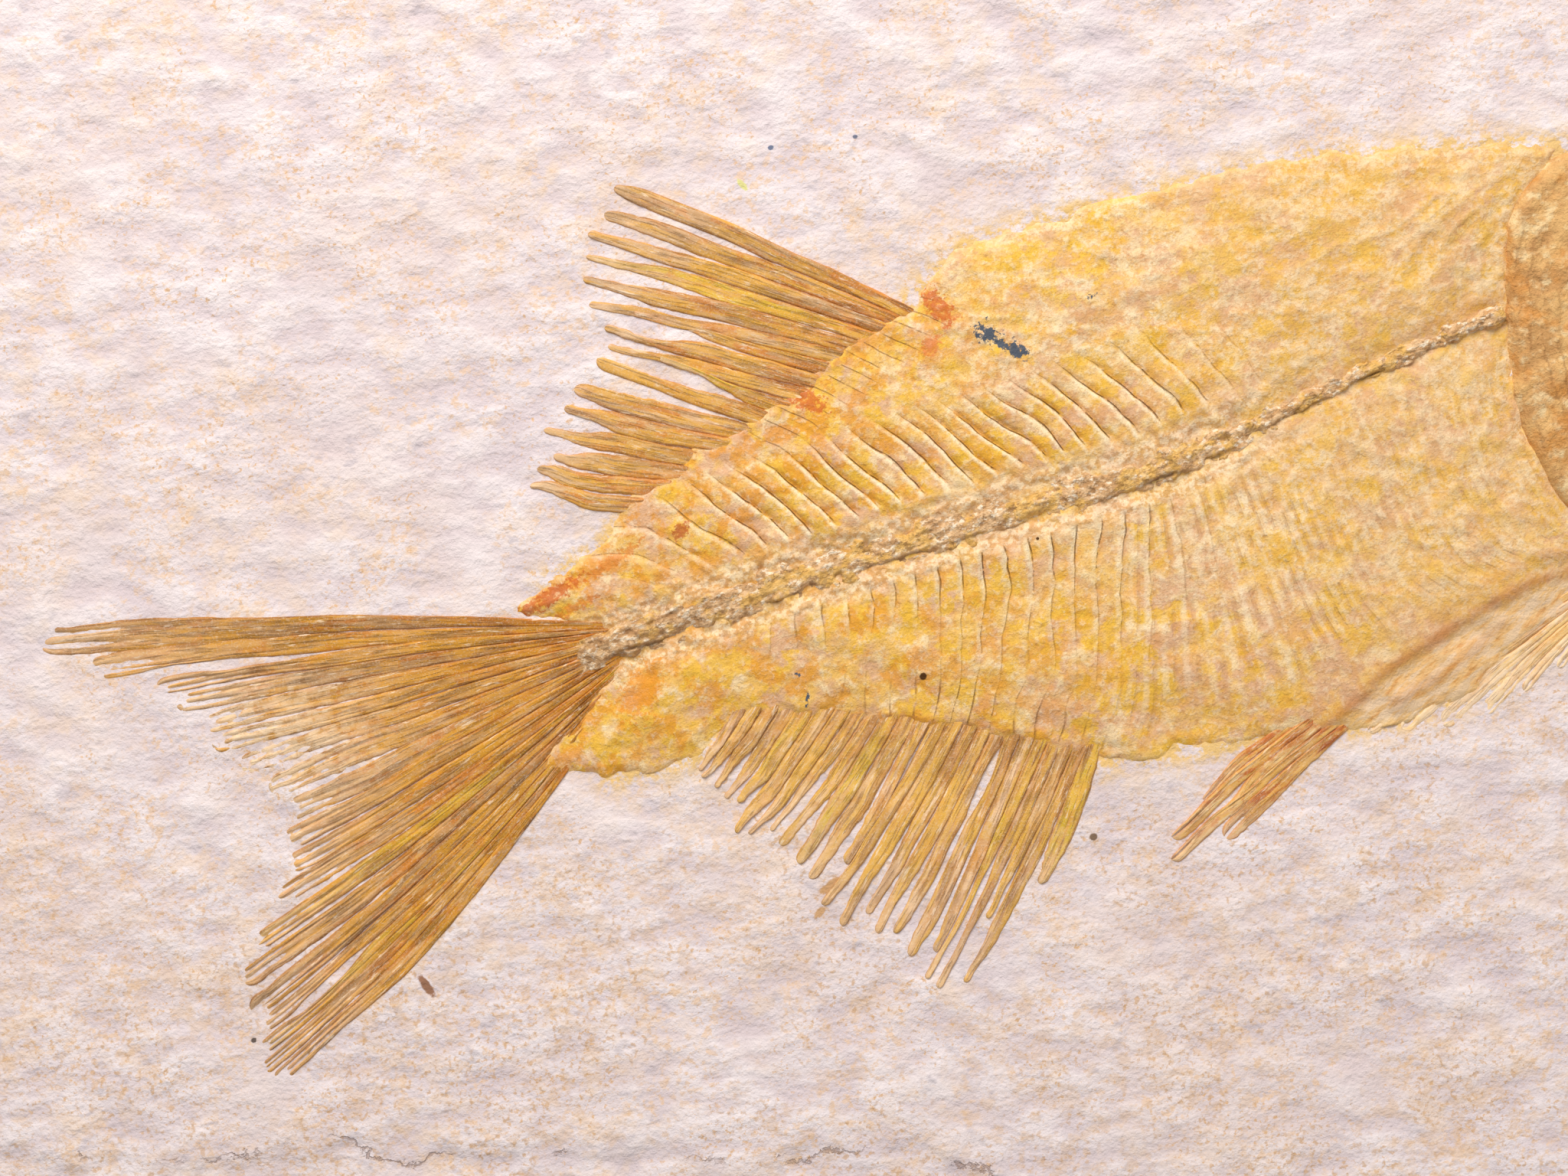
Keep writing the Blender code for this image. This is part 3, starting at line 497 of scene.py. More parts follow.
def flank():
    """Mottled gold, tan and cream, with the fingers between the spines lined with painted shadow and rimmed
    with painted cream highlights.
    """
    f = Finish("flank", 0.62)
    amber, showing, scaled = f.values("amber")
    phase, climb, rim = f.values("ribbing")
    seam, fringe, bead = f.values("seams")
    ribs, props, crumbled = f.values("threads")

    both = f.times
    patch = f.noise(2.0, 4, 0.6, twist=0.3)
    fine, grit = f.noise(0.5, 4, 0.65, shift=31), f.noise(0.17, 3, 0.7, shift=77)
    f.tone = f.mix(f.fade(f.noise(3.2, 4, 0.6, shift=12), 0.4, 0.6), (244, 196, 104), (228, 182, 140))
    f.paint(f.fade(patch, 0.5, 0.64, 0.8), (253, 228, 178))
    wide = f.fade(f.noise(6, 3, 0.6, shift=60), 0.38, 0.52)
    ochre = both(wide, f.fade(f.noise(2.2, 4, 0.6, shift=70), 0.46, 0.55))
    f.paint(both(ochre, 0.85), (243, 192, 56))
    orange = both(amber, f.fade(f.noise(2.2, 4, 0.65, shift=83), 0.48, 0.58))
    f.paint(both(orange, 0.75), (232, 156, 42))
    # Scales: cells along the columns of the flank, some cream, some yellow, with pale borders
    cell_place = f.node("CombineXYZ", both(phase, 1.15), both(climb, 0.55), 0.0)
    bent = f.node("VectorMath", f.noise_vector(2.0, 1.1), cell_place.outputs[0], operation="ADD").outputs[0]
    cell = f.node("TexVoronoi", bent)
    cell.inputs["Scale"].default_value = 1.0
    edge = f.node("TexVoronoi", bent, feature="DISTANCE_TO_EDGE")
    edge.inputs["Scale"].default_value = 1.0
    pick = f.parts(cell.outputs["Color"])[0]
    scales = f.mix(f.fade(pick, 0.5, 0.62), (226, 178, 118), (253, 230, 182))
    scales = f.mix(f.math("LESS_THAN", pick, 0.3), scales, (244, 198, 74))
    scales = f.mix(f.fade(edge.outputs["Distance"], 0.2, 0.02, 0.6), scales, (252, 228, 184))
    f.paint(both(scaled, f.fade(fine, 0.36, 0.6, 0.7)), scales)
    crumbs = f.fade(f.noise(0.5, 3, 0.6, shift=52), 0.44, 0.56)
    crumbs = f.mix(crumbs, (222, 176, 122), (254, 233, 196))
    f.paint(both(crumbled, 0.7), crumbs)
    # The fingers: a thin painted shadow line starts each, painted shade darkens its start, and a painted
    # highlight rim ends it
    wander = both(f.math("SUBTRACT", f.noise(4.0, 2, shift=120), 0.5), 0.5)
    moved = f.math("ADD", phase, wander)
    turn = f.math("FRACT", moved)

    def threads(share, thin, thick):
        return f.rest(f.fade(f.math("PINGPONG", share, 0.5), thin, thick))

    # A thin painted shadow in the groove before each finger, broken by noise
    line = both(threads(moved, 0.004, 0.04), showing)
    line = both(line, f.fade(f.noise(1.7, 3, 0.7, shift=140), 0.36, 0.52))
    # A painted highlight along the lit crest near each finger's end
    pale = both(f.fade(turn, 0.66, 0.88), f.rest(f.fade(turn, 0.93, 0.98)))
    pale = both(both(pale, showing), f.fade(fine, 0.3, 0.5, 0.8))
    f.paint(pale, (255, 240, 202))
    # Painted shade on the low, unlit start of each finger
    painted_finger_shade = both(f.rest(f.fade(turn, 0.03, 0.35)), showing)
    f.paint(both(painted_finger_shade, 0.42), (214, 142, 56))
    # Below and ahead: fine lines, brown and cream by turns, and dark stays along the belly
    stripe = f.math("PINGPONG", both(phase, 1.9), 0.5)
    clear = both(ribs, f.fade(f.noise(2.8, 3, 0.6, shift=150), 0.4, 0.56))
    f.paint(both(clear, f.fade(stripe, 0.26, 0.44, 0.42)), (255, 236, 200))
    hair = both(clear, f.rest(f.fade(stripe, 0.03, 0.16)))
    stay = both(threads(moved, 0.01, 0.06), props)
    stay = both(stay, f.fade(f.noise(1.8, 3, 0.6, shift=160), 0.36, 0.52))
    f.paint(f.fade(fine, 0.5, 0.7, 0.4), (255, 241, 210))
    f.paint(f.fade(f.noise(0.42, 3, 0.6, shift=99), 0.55, 0.7, 0.4), (190, 132, 66))
    f.paint(f.fade(grit, 0.5, 0.68, 0.28), (180, 126, 66))
    streaked = f.noise(0.6, 3, 0.6, stretch=(4.0, 1, 1), place=f.turned(-0.36), shift=12)
    straw = f.mix(f.fade(streaked, 0.42, 0.56), (255, 229, 194), (252, 208, 144))
    straw = f.mix(f.fade(streaked, 0.56, 0.66, 0.8), straw, (228, 154, 72))
    f.paint(both(fringe, 0.85), straw)
    f.paint(both(bead, f.fade(fine, 0.38, 0.6, 0.75)), (206, 134, 60))
    f.paint(both(seam, f.fade(streaked, 0.15, 0.5, 0.9)), (184, 112, 46))
    f.paint(f.fade(rim, 0.9, 0.1, 0.35), (248, 216, 142))
    f.paint(both(hair, 0.3), (190, 130, 84))
    f.paint(both(stay, 0.6), (160, 106, 56))
    # The painted groove shadow
    f.paint(both(line, 0.82), (120, 78, 38))
    f.paint(f.fade(f.parts(f.place)[0], 20, 34, 0.25), (218, 172, 120))
    for centre, radii, turned, shade, share in (
        ((34.2, 15.6), (1.7, 0.8), 1.9, (205, 92, 22), 0.8),
        ((32.6, 13.0), (0.9, 0.7), 0.5, (222, 122, 52), 0.7),
        ((22.0, 12.4), (1.7, 0.8), -0.7, (205, 96, 30), 0.8),
        ((9.2, 6.2), (0.85, 0.5), 0.4, (186, 92, 34), 0.85),
        ((-3.0, 4.8), (3.8, 0.6), 0.2, (200, 96, 24), 0.85),
        ((3.5, 5.9), (2.6, 0.45), 0.25, (222, 130, 36), 0.7),
        ((-1.0, 3.4), (2.4, 0.4), 0.15, (224, 128, 30), 0.7),
        ((2.0, -4.4), (2.4, 1.3), 0.7, (234, 152, 40), 0.75),
        ((15.5, -10.5), (0.9, 0.7), 0.3, (216, 150, 40), 0.7),
        ((28.5, -13.5), (1.0, 0.7), 0.8, (222, 156, 40), 0.6),
    ):
        spot = both(f.spot(centre, radii, turned, 0.9), f.fade(fine, 0.25, 0.5, share))
        f.paint(spot, shade)
    for centre, radii, turned in (
        ((37.1, 12.3), (1.0, 0.6), -0.9), ((37.8, 11.5), (0.4, 0.8), 0.4),
        ((38.8, 10.4), (0.8, 0.45), -1.0), ((45.7, 12.3), (0.3, 0.2), 0.0),
        ((13.9, -7.4), (0.3, 0.2), 0.0), ((14.0, -9.5), (0.5, 0.16), 1.1),
    ):
        f.paint(f.spot(centre, radii, turned, 1.7), (84, 92, 104))
    for centre, radius in (((23.1, -11.0), 0.3), ((35.2, -4.0), 0.13)):
        f.paint(f.spot(centre, (radius, radius), 0.0, 0.12), (88, 54, 14))
    f.bump(patch, 0.16)
    f.bump(fine, 0.13)
    f.bump(grit, 0.05)
    f.bump(f.rest(line), 0.12)
    f.bump(f.rest(f.math("MAXIMUM", hair, stay)), 0.05)
    return f.done()


def backbone_bone():
    """Grey-brown, chipped bone, with painted shade in its cracks and a painted cream highlight where its
    bump is high.
    """
    f = Finish("backbone_bone", 0.72)
    deep = f.value("deep")
    drawn = dict(stretch=(1.6, 1, 1), place=f.turned(-0.05))
    rough, fine = f.noise(0.5, 4, 0.65, shift=8, **drawn), f.noise(0.22, 3, 0.7, shift=21)
    # Painted highlight: paler cream where the rough noise that bumps the bone is high
    f.tone = f.mix(f.fade(rough, 0.42, 0.58), (212, 166, 114), (238, 200, 152))
    f.paint(f.fade(f.noise(0.4, 3, 0.6, shift=33, **drawn), 0.52, 0.62, 0.9), (255, 240, 212))
    f.paint(f.fade(f.noise(1.8, 3, 0.6, shift=47), 0.5, 0.6, 0.65), (240, 190, 88))
    f.paint(f.fade(f.noise(0.5, 4, 0.7, shift=66, **drawn), 0.53, 0.63, 0.65), (154, 110, 66))
    tailward = f.fade(f.parts(f.place)[0], -10, -24, 0.45)
    f.paint(f.times(tailward, f.fade(rough, 0.62, 0.4)), (172, 130, 88))
    # Painted shade in the cracks, on the lowest plates and chips, and along the crack under the band
    f.paint(f.times(deep, 0.75), (116, 80, 44))
    f.bump(rough, 0.28)
    f.bump(fine, 0.14)
    return f.done()


def ray_finish(name, pale, tan, gold, orange, lemon, rim, dark):
    """Fibres and streaks along each ray, with darker rims, partly the ray's own colour and partly painted
    shade at its edges, and straps and dark lines at the roots.
    """
    f = Finish(name, 0.6)
    across, along, tone_of = f.values("ray")
    side, share, worn = f.values("sides")

    def streaks(width, length, layer, low, high, top=1.0):
        stretched = f.times(along, width / length)
        place = f.node("CombineXYZ", across, stretched, layer).outputs[0]
        return f.fade(f.noise(width, 3, 0.6, place=place), low, high, top)

    f.tone = f.mix(streaks(0.5, 6.0, 21.0, 0.44, 0.56), tan, pale)
    f.paint(streaks(0.42, 5.0, 9.0, 0.5, 0.58, 0.9), gold)
    f.paint(streaks(0.7, 4.0, 57.0, 0.53, 0.6, 0.85), orange)
    yellow = f.times(f.fade(tone_of, 0.9, 0.98), streaks(0.6, 7.0, 33.0, 0.42, 0.52, 0.9))
    f.paint(yellow, lemon)
    f.paint(f.fade(f.noise(1.6, 4, 0.65, shift=23), 0.5, 0.64, 0.4), pale)
    f.paint(f.fade(tone_of, 0.35, 0.7, 0.35), gold)
    f.paint(f.fade(tone_of, 0.25, 0.0, 0.3), dark)
    f.paint(f.fade(f.noise(2.4, 4, 0.65, shift=29), 0.52, 0.62, 0.5), gold)
    f.paint(f.fade(f.noise(1.3, 3, 0.6, shift=37), 0.56, 0.66, 0.5), orange)
    f.paint(f.fade(share, 0.6, 1.0, 0.6), (238, 202, 160))
    # Darker rims at both edges of each ray: partly its own rim colour, partly painted shade where it meets
    # the rock and its neighbours
    f.paint(f.fade(f.math("ABSOLUTE", side), 0.66, 0.95, 0.75), rim)
    root = f.rest(f.fade(share, 0.04, 0.42))
    f.paint(f.times(root, streaks(0.9, 9.0, 71.0, 0.44, 0.54, 0.85)), orange)
    f.paint(f.times(root, streaks(0.3, 4.0, 83.0, 0.5, 0.6, 0.7)), dark)
    f.paint(streaks(1.0, 7.0, 101.0, 0.5, 0.62, 0.3), dark)
    f.paint(streaks(0.8, 9.0, 113.0, 0.52, 0.6, 0.65), gold)
    fibre = streaks(0.2, 4.0, 0.0, 0.52, 0.62)
    f.paint(f.times(fibre, 0.38), dark)
    f.paint(streaks(0.22, 1.6, 45.0, 0.6, 0.7, 0.6), (255, 236, 206))
    patchy = f.fade(f.noise(1.1, 4, 0.65, shift=5), 0.36, 0.55, 0.85)
    f.paint(f.times(worn, patchy), (250, 224, 186))
    grit = f.noise(0.16, 3, 0.7, shift=61)
    f.paint(f.fade(grit, 0.5, 0.68, 0.25), (255, 240, 214))
    f.bump(f.rest(fibre), 0.04)
    f.bump(grit, 0.05)
    return f.done()


def head_bone():
    """Tan and orange-brown bone with darker growth lines and paler, worn patches."""
    f = Finish("head_bone", 0.6)
    grow = f.value("grow")
    patch, fine = f.noise(2.2, 4, 0.65, shift=14), f.noise(0.45, 4, 0.7, shift=3)
    f.tone = f.mix(f.fade(patch, 0.4, 0.6), (208, 158, 98), (230, 184, 118))
    f.paint(f.fade(f.noise(1.4, 4, 0.6, shift=28), 0.5, 0.66, 0.75), (248, 224, 172))
    f.paint(f.fade(f.noise(3.0, 3, 0.6, shift=61), 0.5, 0.66, 0.6), (216, 142, 56))
    lined = f.math("PINGPONG", f.math("ADD", grow, f.times(patch, 1.6)), 0.5)
    line = f.rest(f.fade(lined, 0.03, 0.16))
    line = f.times(line, f.fade(f.noise(2.6, 3, shift=80), 0.42, 0.6, 0.35))
    f.paint(line, (140, 90, 44))
    f.paint(f.fade(fine, 0.54, 0.72, 0.4), (150, 100, 54))
    f.bump(patch, 0.35)
    f.bump(fine, 0.22)
    return f.done()


def slab_radius(angle, height):
    """How far out the slab's broken edge is: straight breaks at each level, thin layers between."""
    corners = SLAB_CORNERS * (HALF_LENGTH, HALF_WIDTH)
    following = np.roll(corners, -1, axis=0)
    shares = np.linspace(0, 1, 12, endpoint=False)
    rim = (corners[:, None] + shares[None, :, None] * (following - corners)[:, None]).reshape(-1, 2)
    bearing = np.arctan2(rim[:, 1], rim[:, 0])
    order = np.argsort(bearing)
    reach = np.interp(angle, bearing[order], np.linalg.norm(rim, axis=1)[order], period=TAU)
    inset = np.interp(height / FACE, *zip(*EDGE_LEVELS))
    x, y = reach * np.cos(angle), reach * np.sin(angle)
    layer = np.floor(height / BED_THICKNESS + 0.35 * lumps(x, y, 22, 3))
    step = 0.9 * lumps(x + 31 * layer, y - 17 * layer, 9, 4) + 0.45 * lumps(x - 13 * layer, y, 2.6, 5)
    facets = 0.9 * np.abs(lumps(x, y + 2 * height, 12, 6)) + 0.3 * grain(x, y + height, 2.2, 2, 7)
    return reach - inset - np.maximum(step + facets - 0.4, -0.5)


def split_face(x, y):
    """Height of the split face, from a few long swells, flaked layers and a lumpy grain, and the painted
    shade of its pits.
    """
    from_fish = np.hypot((x - 2) / 88, y / 50)
    swell = np.sin(x / 17 + 1.3 * np.sin(y / 23)) + 0.7 * np.sin(y / 13 - x / 31 + 2.0)
    height = FACE + 0.45 * (swell - 1.0) / 2 * smooth_step(0.95, 1.35, from_fish)
    ragged_x, ragged_y = x + 1.1 * grain(x, y, 3.5, 3, 21), y + 1.1 * grain(x, y, 3.5, 3, 22)
    for depth, outline in FLAKES:
        away = distance_to(outline, ragged_x, ragged_y)
        slope = 0.25 + 0.55 * depth
        height = height - depth * (1 - smooth_step(-slope, slope, away))
    rough = grain(x + 0.4 * y, y, 3.8, 4, 8)
    pocks = smooth_step(0.35, 0.85, lumps(x, y, 1.7, 9)) * smooth_step(0.0, 0.5, lumps(x, y, 9, 10))
    # The second value sets painted shade: most in the pits and where the grain is low
    return height + 0.11 * rough - 0.13 * pocks, np.clip(0.35 - 0.55 * rough + 0.6 * pocks, 0, 1)


def fish_outline():
    """The outline of flank and head on the slab, once round."""
    belly = BELLY[(BELLY[:, 0] > -7) & (BELLY[:, 0] < 80)]
    back = BACK[BACK[:, 0] > -7][::-1]
    head = ((81, -22.8), (94, -16), (104, -6), (104.4, -1.6), (100, 3.4), (92, 8.4), (85.2, 10.8))
    return np.concatenate([belly, head, back]) + TAIL_ROOT


def make_slab(finish):
    """The slab: a square grid eased to its outline as its face, and layered walls to a flat back."""
    rows, columns = FACE_GRID
    u, v = np.meshgrid(np.linspace(-1, 1, rows), np.linspace(-1, 1, columns), indexing="ij")
    disc = np.stack([u * np.sqrt(1 - v * v / 2), v * np.sqrt(1 - u * u / 2)], -1)
    out = np.linalg.norm(disc, axis=-1)
    oval = disc * (HALF_LENGTH, HALF_WIDTH)
    angle = np.arctan2(oval[..., 1], oval[..., 0])
    oval_reach = np.linalg.norm(oval, axis=-1) / np.maximum(out, 1e-9)

    def face_at(reach):
        pull = 1 + (reach / oval_reach - 1) * out**3
        x, y = oval[..., 0] * pull, oval[..., 1] * pull
        return x, y, *split_face(x, y)

    x, y, height, pit_shade = face_at(slab_radius(angle, np.full_like(angle, FACE)))
    x, y, height, pit_shade = face_at(slab_radius(angle, np.minimum(height, FACE)))
    height = height - smooth_step(0.98, 1.0, out) * (0.25 + 0.35 * np.abs(lumps(x, y, 3.0, 14)))
    top = np.stack([x, y, height], -1).reshape(-1, 3)
    apart = distance_to(fish_outline(), top[:, 0], top[:, 1])
    stain = np.exp(-np.maximum(apart, 0) / 0.9) * (1 + 2 * smooth_step(0, -1.5, apart))
    ledge = np.clip(distance_to(FLAKES[0][1], top[:, 0], top[:, 1]), -5, 5)

    rim = rim_of(rows, columns)
    edge, bearing = top[rim], angle.reshape(-1)[rim]
    rings = [edge]
    for share in np.linspace(1, 0, WALL_LEVELS)[1:]:
        z = edge[:, 2] * share + (0.2 * lumps(edge[:, 0], edge[:, 1], 6, 15) if share else 0)
        reach = slab_radius(bearing, np.clip(z, 0, FACE)) - (0.5 if share == 0 else 0)
        rings.append(np.stack([reach * np.cos(bearing), reach * np.sin(bearing), z * (share > 0)], -1))
    points = np.concatenate([top, *rings[1:]])
    count = len(rim)
    loops = [rim] + [len(top) + n * count + np.arange(count) for n in range(WALL_LEVELS - 1)]
    faces = grid_faces(rows, columns)
    for upper, lower in zip(loops, loops[1:]):
        faces += np.stack([np.roll(upper, -1), upper, lower, np.roll(lower, -1)], 1).tolist()
    faces.append(loops[-1][::-1].tolist())
    beyond = len(points) - len(top)
    values = {
        "pit_shade": np.concatenate([pit_shade.ravel(), np.full(beyond, 0.3)]),
        "stain": np.concatenate([stain, np.zeros(beyond)]),
        "ledge": np.concatenate([ledge, np.full(beyond, 5.0)]),
        "walls": np.concatenate([smooth_step(0.985, 1.0, out).ravel(), np.ones(beyond)]),
    }
    slab = new_piece("limestone_slab", points, faces, finish, "slab", values)
    slab.data.set_sharp_from_angle(angle=np.radians(60))


def spine_height(s):
    """The backbone's own line: just below the axis, sagging amidships and rising again to the head."""
    sag = 1.2 * np.exp(-(((s - 46) / 11) ** 2))
    return -0.35 - 0.65 * smooth_step(8, 30, s) - sag + 0.85 * smooth_step(54, 74, s)


def flank_point(s0, h):
    """Where the column that leaves the backbone at s0 has climbed by h (down where h < 0).

    Columns follow the spines and ribs: they lean back more and more away from the backbone, lie
    along the tail's root at the tail end, and follow the gill cover's rear edge at the head.
    """
    up, down = np.maximum(h, 0), np.maximum(-h, 0)
    t = spine_height(s0) + h
    rising = -(0.28 * up + 0.022 * up**2)
    falling = -(0.22 * down + 0.012 * down**2) * (1 - smooth_step(42, 52, s0))
    tail = -(0.1 * up + 0.3 * up**2) - (0.99 * down + 0.047 * down**2)
    gill = np.interp(t, GILL_REAR[::-1, 1], GILL_REAR[::-1, 0]) + 0.8 - SPINE_END
    at_tail = 1 - smooth_step(SPINE_START + 2, 16, s0)
    at_gill = smooth_step(46, SPINE_END, s0)
    return s0 + at_tail * tail + at_gill * gill + (1 - at_tail - at_gill) * (rising + falling), t


def edge_height(s0, outline, side):
    """How far the columns climb before they meet the outline, found by halving the interval."""
    low, high = np.zeros_like(s0), np.full_like(s0, 34.0)
    for _ in range(40):
        middle = (low + high) / 2
        s, t = flank_point(s0, side * middle)
        outside = side * (t - level(outline, s)) > 0
        low, high = np.where(outside, low, middle), np.where(outside, middle, high)
    return low


def make_flank(finish):
    """The flank: a low dome with fingers between the spines, crumbled beside the backbone.

    Across a finger, with r from 0 to 1, its height is 1 - exp(-r / 0.16), with a drop over the
    last seventh, and its end next to the backbone is round. Bones that lie in the flank rise by
    exp(-(d / 0.5)^2), with d the distance to their path.
    """
    s0 = np.linspace(SPINE_START, SPINE_END, FLANK_GRID[0])[:, None]
    v = np.linspace(-1, 1, FLANK_GRID[1])
    climb = v * np.where(v > 0, edge_height(s0, BACK, 1), edge_height(s0, BELLY, -1))
    s, t = flank_point(s0, climb)
    x, y = on_slab(s, t)
    around = rim_of(*s.shape)[::4]
    rim = -distance_to(np.stack([s.ravel()[around], t.ravel()[around]], 1), s, t)

    # The fingers: their place in the row, their shape, and where they and the finer ribs show
    calm = 1 - 0.75 * smooth_step(40, 50, s0)
    loose = smooth_step(1.5, 4.0, -climb) * calm
    phase = (s0 - FIRST_JOINT) / PITCH + (0.18 + 0.14 * loose) * calm * lumps(s, t, 4.2, 30)
    phase = phase + 0.04 * loose * calm * lumps(s, t, 1.3, 28)
    r = phase - np.floor(phase)
    finger = (1 - np.exp(-r / 0.16)) * (1 - smooth_step(0.86, 1.0, r))
    start = 2.4 + 1.1 * (2 * r - 1.1) ** 2 + 0.5 * lumps(np.floor(phase), 0 * climb, 1.0, 29)
    above = span(start, start + 0.6, 7.5, 11.0, climb) * span(6, 20, 46, 60, s0)
    start = 1.6 + 0.7 * (2 * r - 1) ** 2
    below = span(start, start + 0.5, 3.5, 6.5, -climb) * span(10, 20, 36, 48, s0)
    wavy = span(2.0, 3.0, 8, 17, -climb) * span(24, 32, 44, 54, s0)
    showing = np.clip(above + 0.55 * below + 0.35 * wavy, 0, 1)
    ribs = span(1.8, 4.0, 16, 23, -climb) * smooth_step(39, 46, s0) * (1 - 0.45 * smooth_step(52, 60, s0))
    props = span(0.6, 1.2, 3.0, 5.0, rim) * span(14, 20, 32, 37, s)
    crumbled = np.exp(-((np.abs(climb) - 1.9) ** 2) / 0.8) * (1 - smooth_step(52, 62, s0))
    scaled = smooth_step(22, 44, s) * smooth_step(-13, 0, t + 0.5 * s - 18) * (1 - above) * (1 - crumbled)

    # Bones: each one's height and path, the first with a worn fringe of rock and bone below it
    bones = (
        (1.0, ((49, -26.4), (53, -25), (57, -23.2), (62, -22), (66, -21.1), (70, -20.6), (76, -21))),
        (0.6, ((57, -25.7), (60.5, -25.1), (63.5, -24.2), (67, -22.9))),
        (0.4, ((62, -20.6), (67, -19.4), (72, -18.9), (77, -19.4))),
        (0.5, ((61.5, 0.0), (66, 0.6), (70, 1.1), (76, 1.3))),
    )
    seam = sum(high * np.exp(-((path_distance(path, s, t) / 0.5) ** 2)) for high, path in bones)
    seam = seam * (0.75 + 0.25 * lumps(s, t, 1.6, 36))
    fringe = smooth_step(0.2, 1.2, np.interp(s, *zip(*bones[0][1])) - t) * smooth_step(50, 56, s)
    bead = np.exp(-(((rim - 1.0) / 0.5) ** 2)) * span(12, 16, 31, 34, s)
    bead = bead * np.clip(0.6 + 0.6 * lumps(x, y, 0.9, 37), 0, 1)

    ridged = 1 - 2 * np.abs(lumps(phase * PITCH, climb, 1.5, 33))
    height = 0.26 + 0.5 * smooth_step(0, 7, rim) - 0.36 * np.exp(-((climb / 1.9) ** 2))
    height += (0.36 * above + 0.2 * below + 0.05 * wavy) * (finger - 0.7)
    height += 0.08 * grain(x, y, 3.0, 3, 31) + (0.035 + 0.15 * crumbled) * grain(x, y, 0.9, 3, 32)
    height += 0.08 * ridged * (0.4 + 0.6 * scaled) * (1 - showing)
    height += 0.14 * seam + 0.16 * bead - 0.05 * fringe
    ragged = rim + 0.55 * grain(x, y, 2.2, 4, 34)
    height = height * smooth_step(-0.1, 1.6, ragged) - 0.35 * (1 - smooth_step(-0.3, 0.7, ragged))
    top = np.stack([x, y, split_face(x, y)[0] + height], -1)
    amber = 0.95 - 0.6 * smooth_step(16, 46, s)
    amber = amber + 0.2 * smooth_step(4, 9, climb) * (1 - smooth_step(30, 45, s))
    values = {
        "ribbing": np.stack([phase, climb, rim], -1),
        "amber": np.stack([np.clip(amber, 0, 1), showing, scaled], -1),
        "seams": np.stack([np.clip(seam, 0, 1), fringe, np.clip(bead, 0, 1)], -1),
        "threads": np.stack([ribs, props, crumbled], -1),
    }
    shell("flank", top, FACE - FLANK_SUNK, finish, "body", values)


def make_backbone(finish):
    """The backbone: a crumbled band with a row of vertebrae, chipped plates and two broken cracks.

    Across it, with a from -1 to 1, the row is a ridge of exp(-(a / 0.55)^2) that narrows at each
    joint, and the edges fall away where 1 - |a| and a grain together are small.
    """
    s = np.linspace(-2.5, 75.6, BONE_GRID[0])[:, None]
    a = np.linspace(-1, 1, BONE_GRID[1])
    half = 1.75 * (0.75 + 0.25 * smooth_step(-1, 8, s)) * (1 - 0.5 * smooth_step(46, 64, s))
    x, y = on_slab(s + 0 * a, spine_height(s) + a * half)
    ring = np.cos(np.pi * (s - FIRST_JOINT) / PITCH) ** 2
    core = np.exp(-((a / 0.55) ** 2))
    chips = grain(x, y, 0.7, 3, 41)
    plates = np.round(2.0 * lumps(x * 0.7 + 0.2 * chips, y, 0.75, 42)) / 2
    height = 0.56 + 0.2 * core * (0.5 + 0.5 * ring) + 0.12 * plates + 0.12 * chips
    under = np.exp(-(((a + 0.6 + 0.2 * lumps(x, y, 1.6, 45)) / 0.12) ** 2))
    under = under * smooth_step(-0.3, 0.3, lumps(x, y, 2.4, 43))
    over = np.exp(-(((a - 0.45 + 0.2 * lumps(x, y, 1.8, 46)) / 0.1) ** 2))
    over = 0.6 * over * smooth_step(0.0, 0.5, lumps(x, y, 2.8, 47))
    cracks = np.maximum(under, over)
    fall = smooth_step(-0.15, 0.55, 1 - np.abs(a) + 0.35 * grain(x, y, 1.2, 3, 44))
    height = (height - 0.3 * cracks) * fall + 0.05 * (1 - fall)
    height = height * smooth_step(-2.5, 0.5, s)
    # deep: where painted shade goes, in the cracks and on the lowest plates and chips
    deep = np.clip(0.9 * cracks + 0.3 * (plates < -0.6) + 0.3 * (chips < -0.6), 0, 1)
    top = np.stack([x, y, split_face(x, y)[0] + 0.04 + height], -1)
    shell("backbone", top, FACE - BONE_SUNK, finish, "backbone", {"deep": deep})


def fan_lines(roots, tips, bows, w):
    """Each ray's line at shares w of its way: a curve from root to tip, bowed sideways at half way."""
    roots, tips = np.asarray(roots, float), np.asarray(tips, float)
    along = tips - roots
    side = np.stack([-along[:, 1], along[:, 0]], 1) / np.linalg.norm(along, axis=1)[:, None]
    bends = (roots + tips) / 2 + side * 2 * np.broadcast_to(bows, len(roots))[:, None]
    return bezier(roots[:, None], bends[:, None], tips[:, None], w)


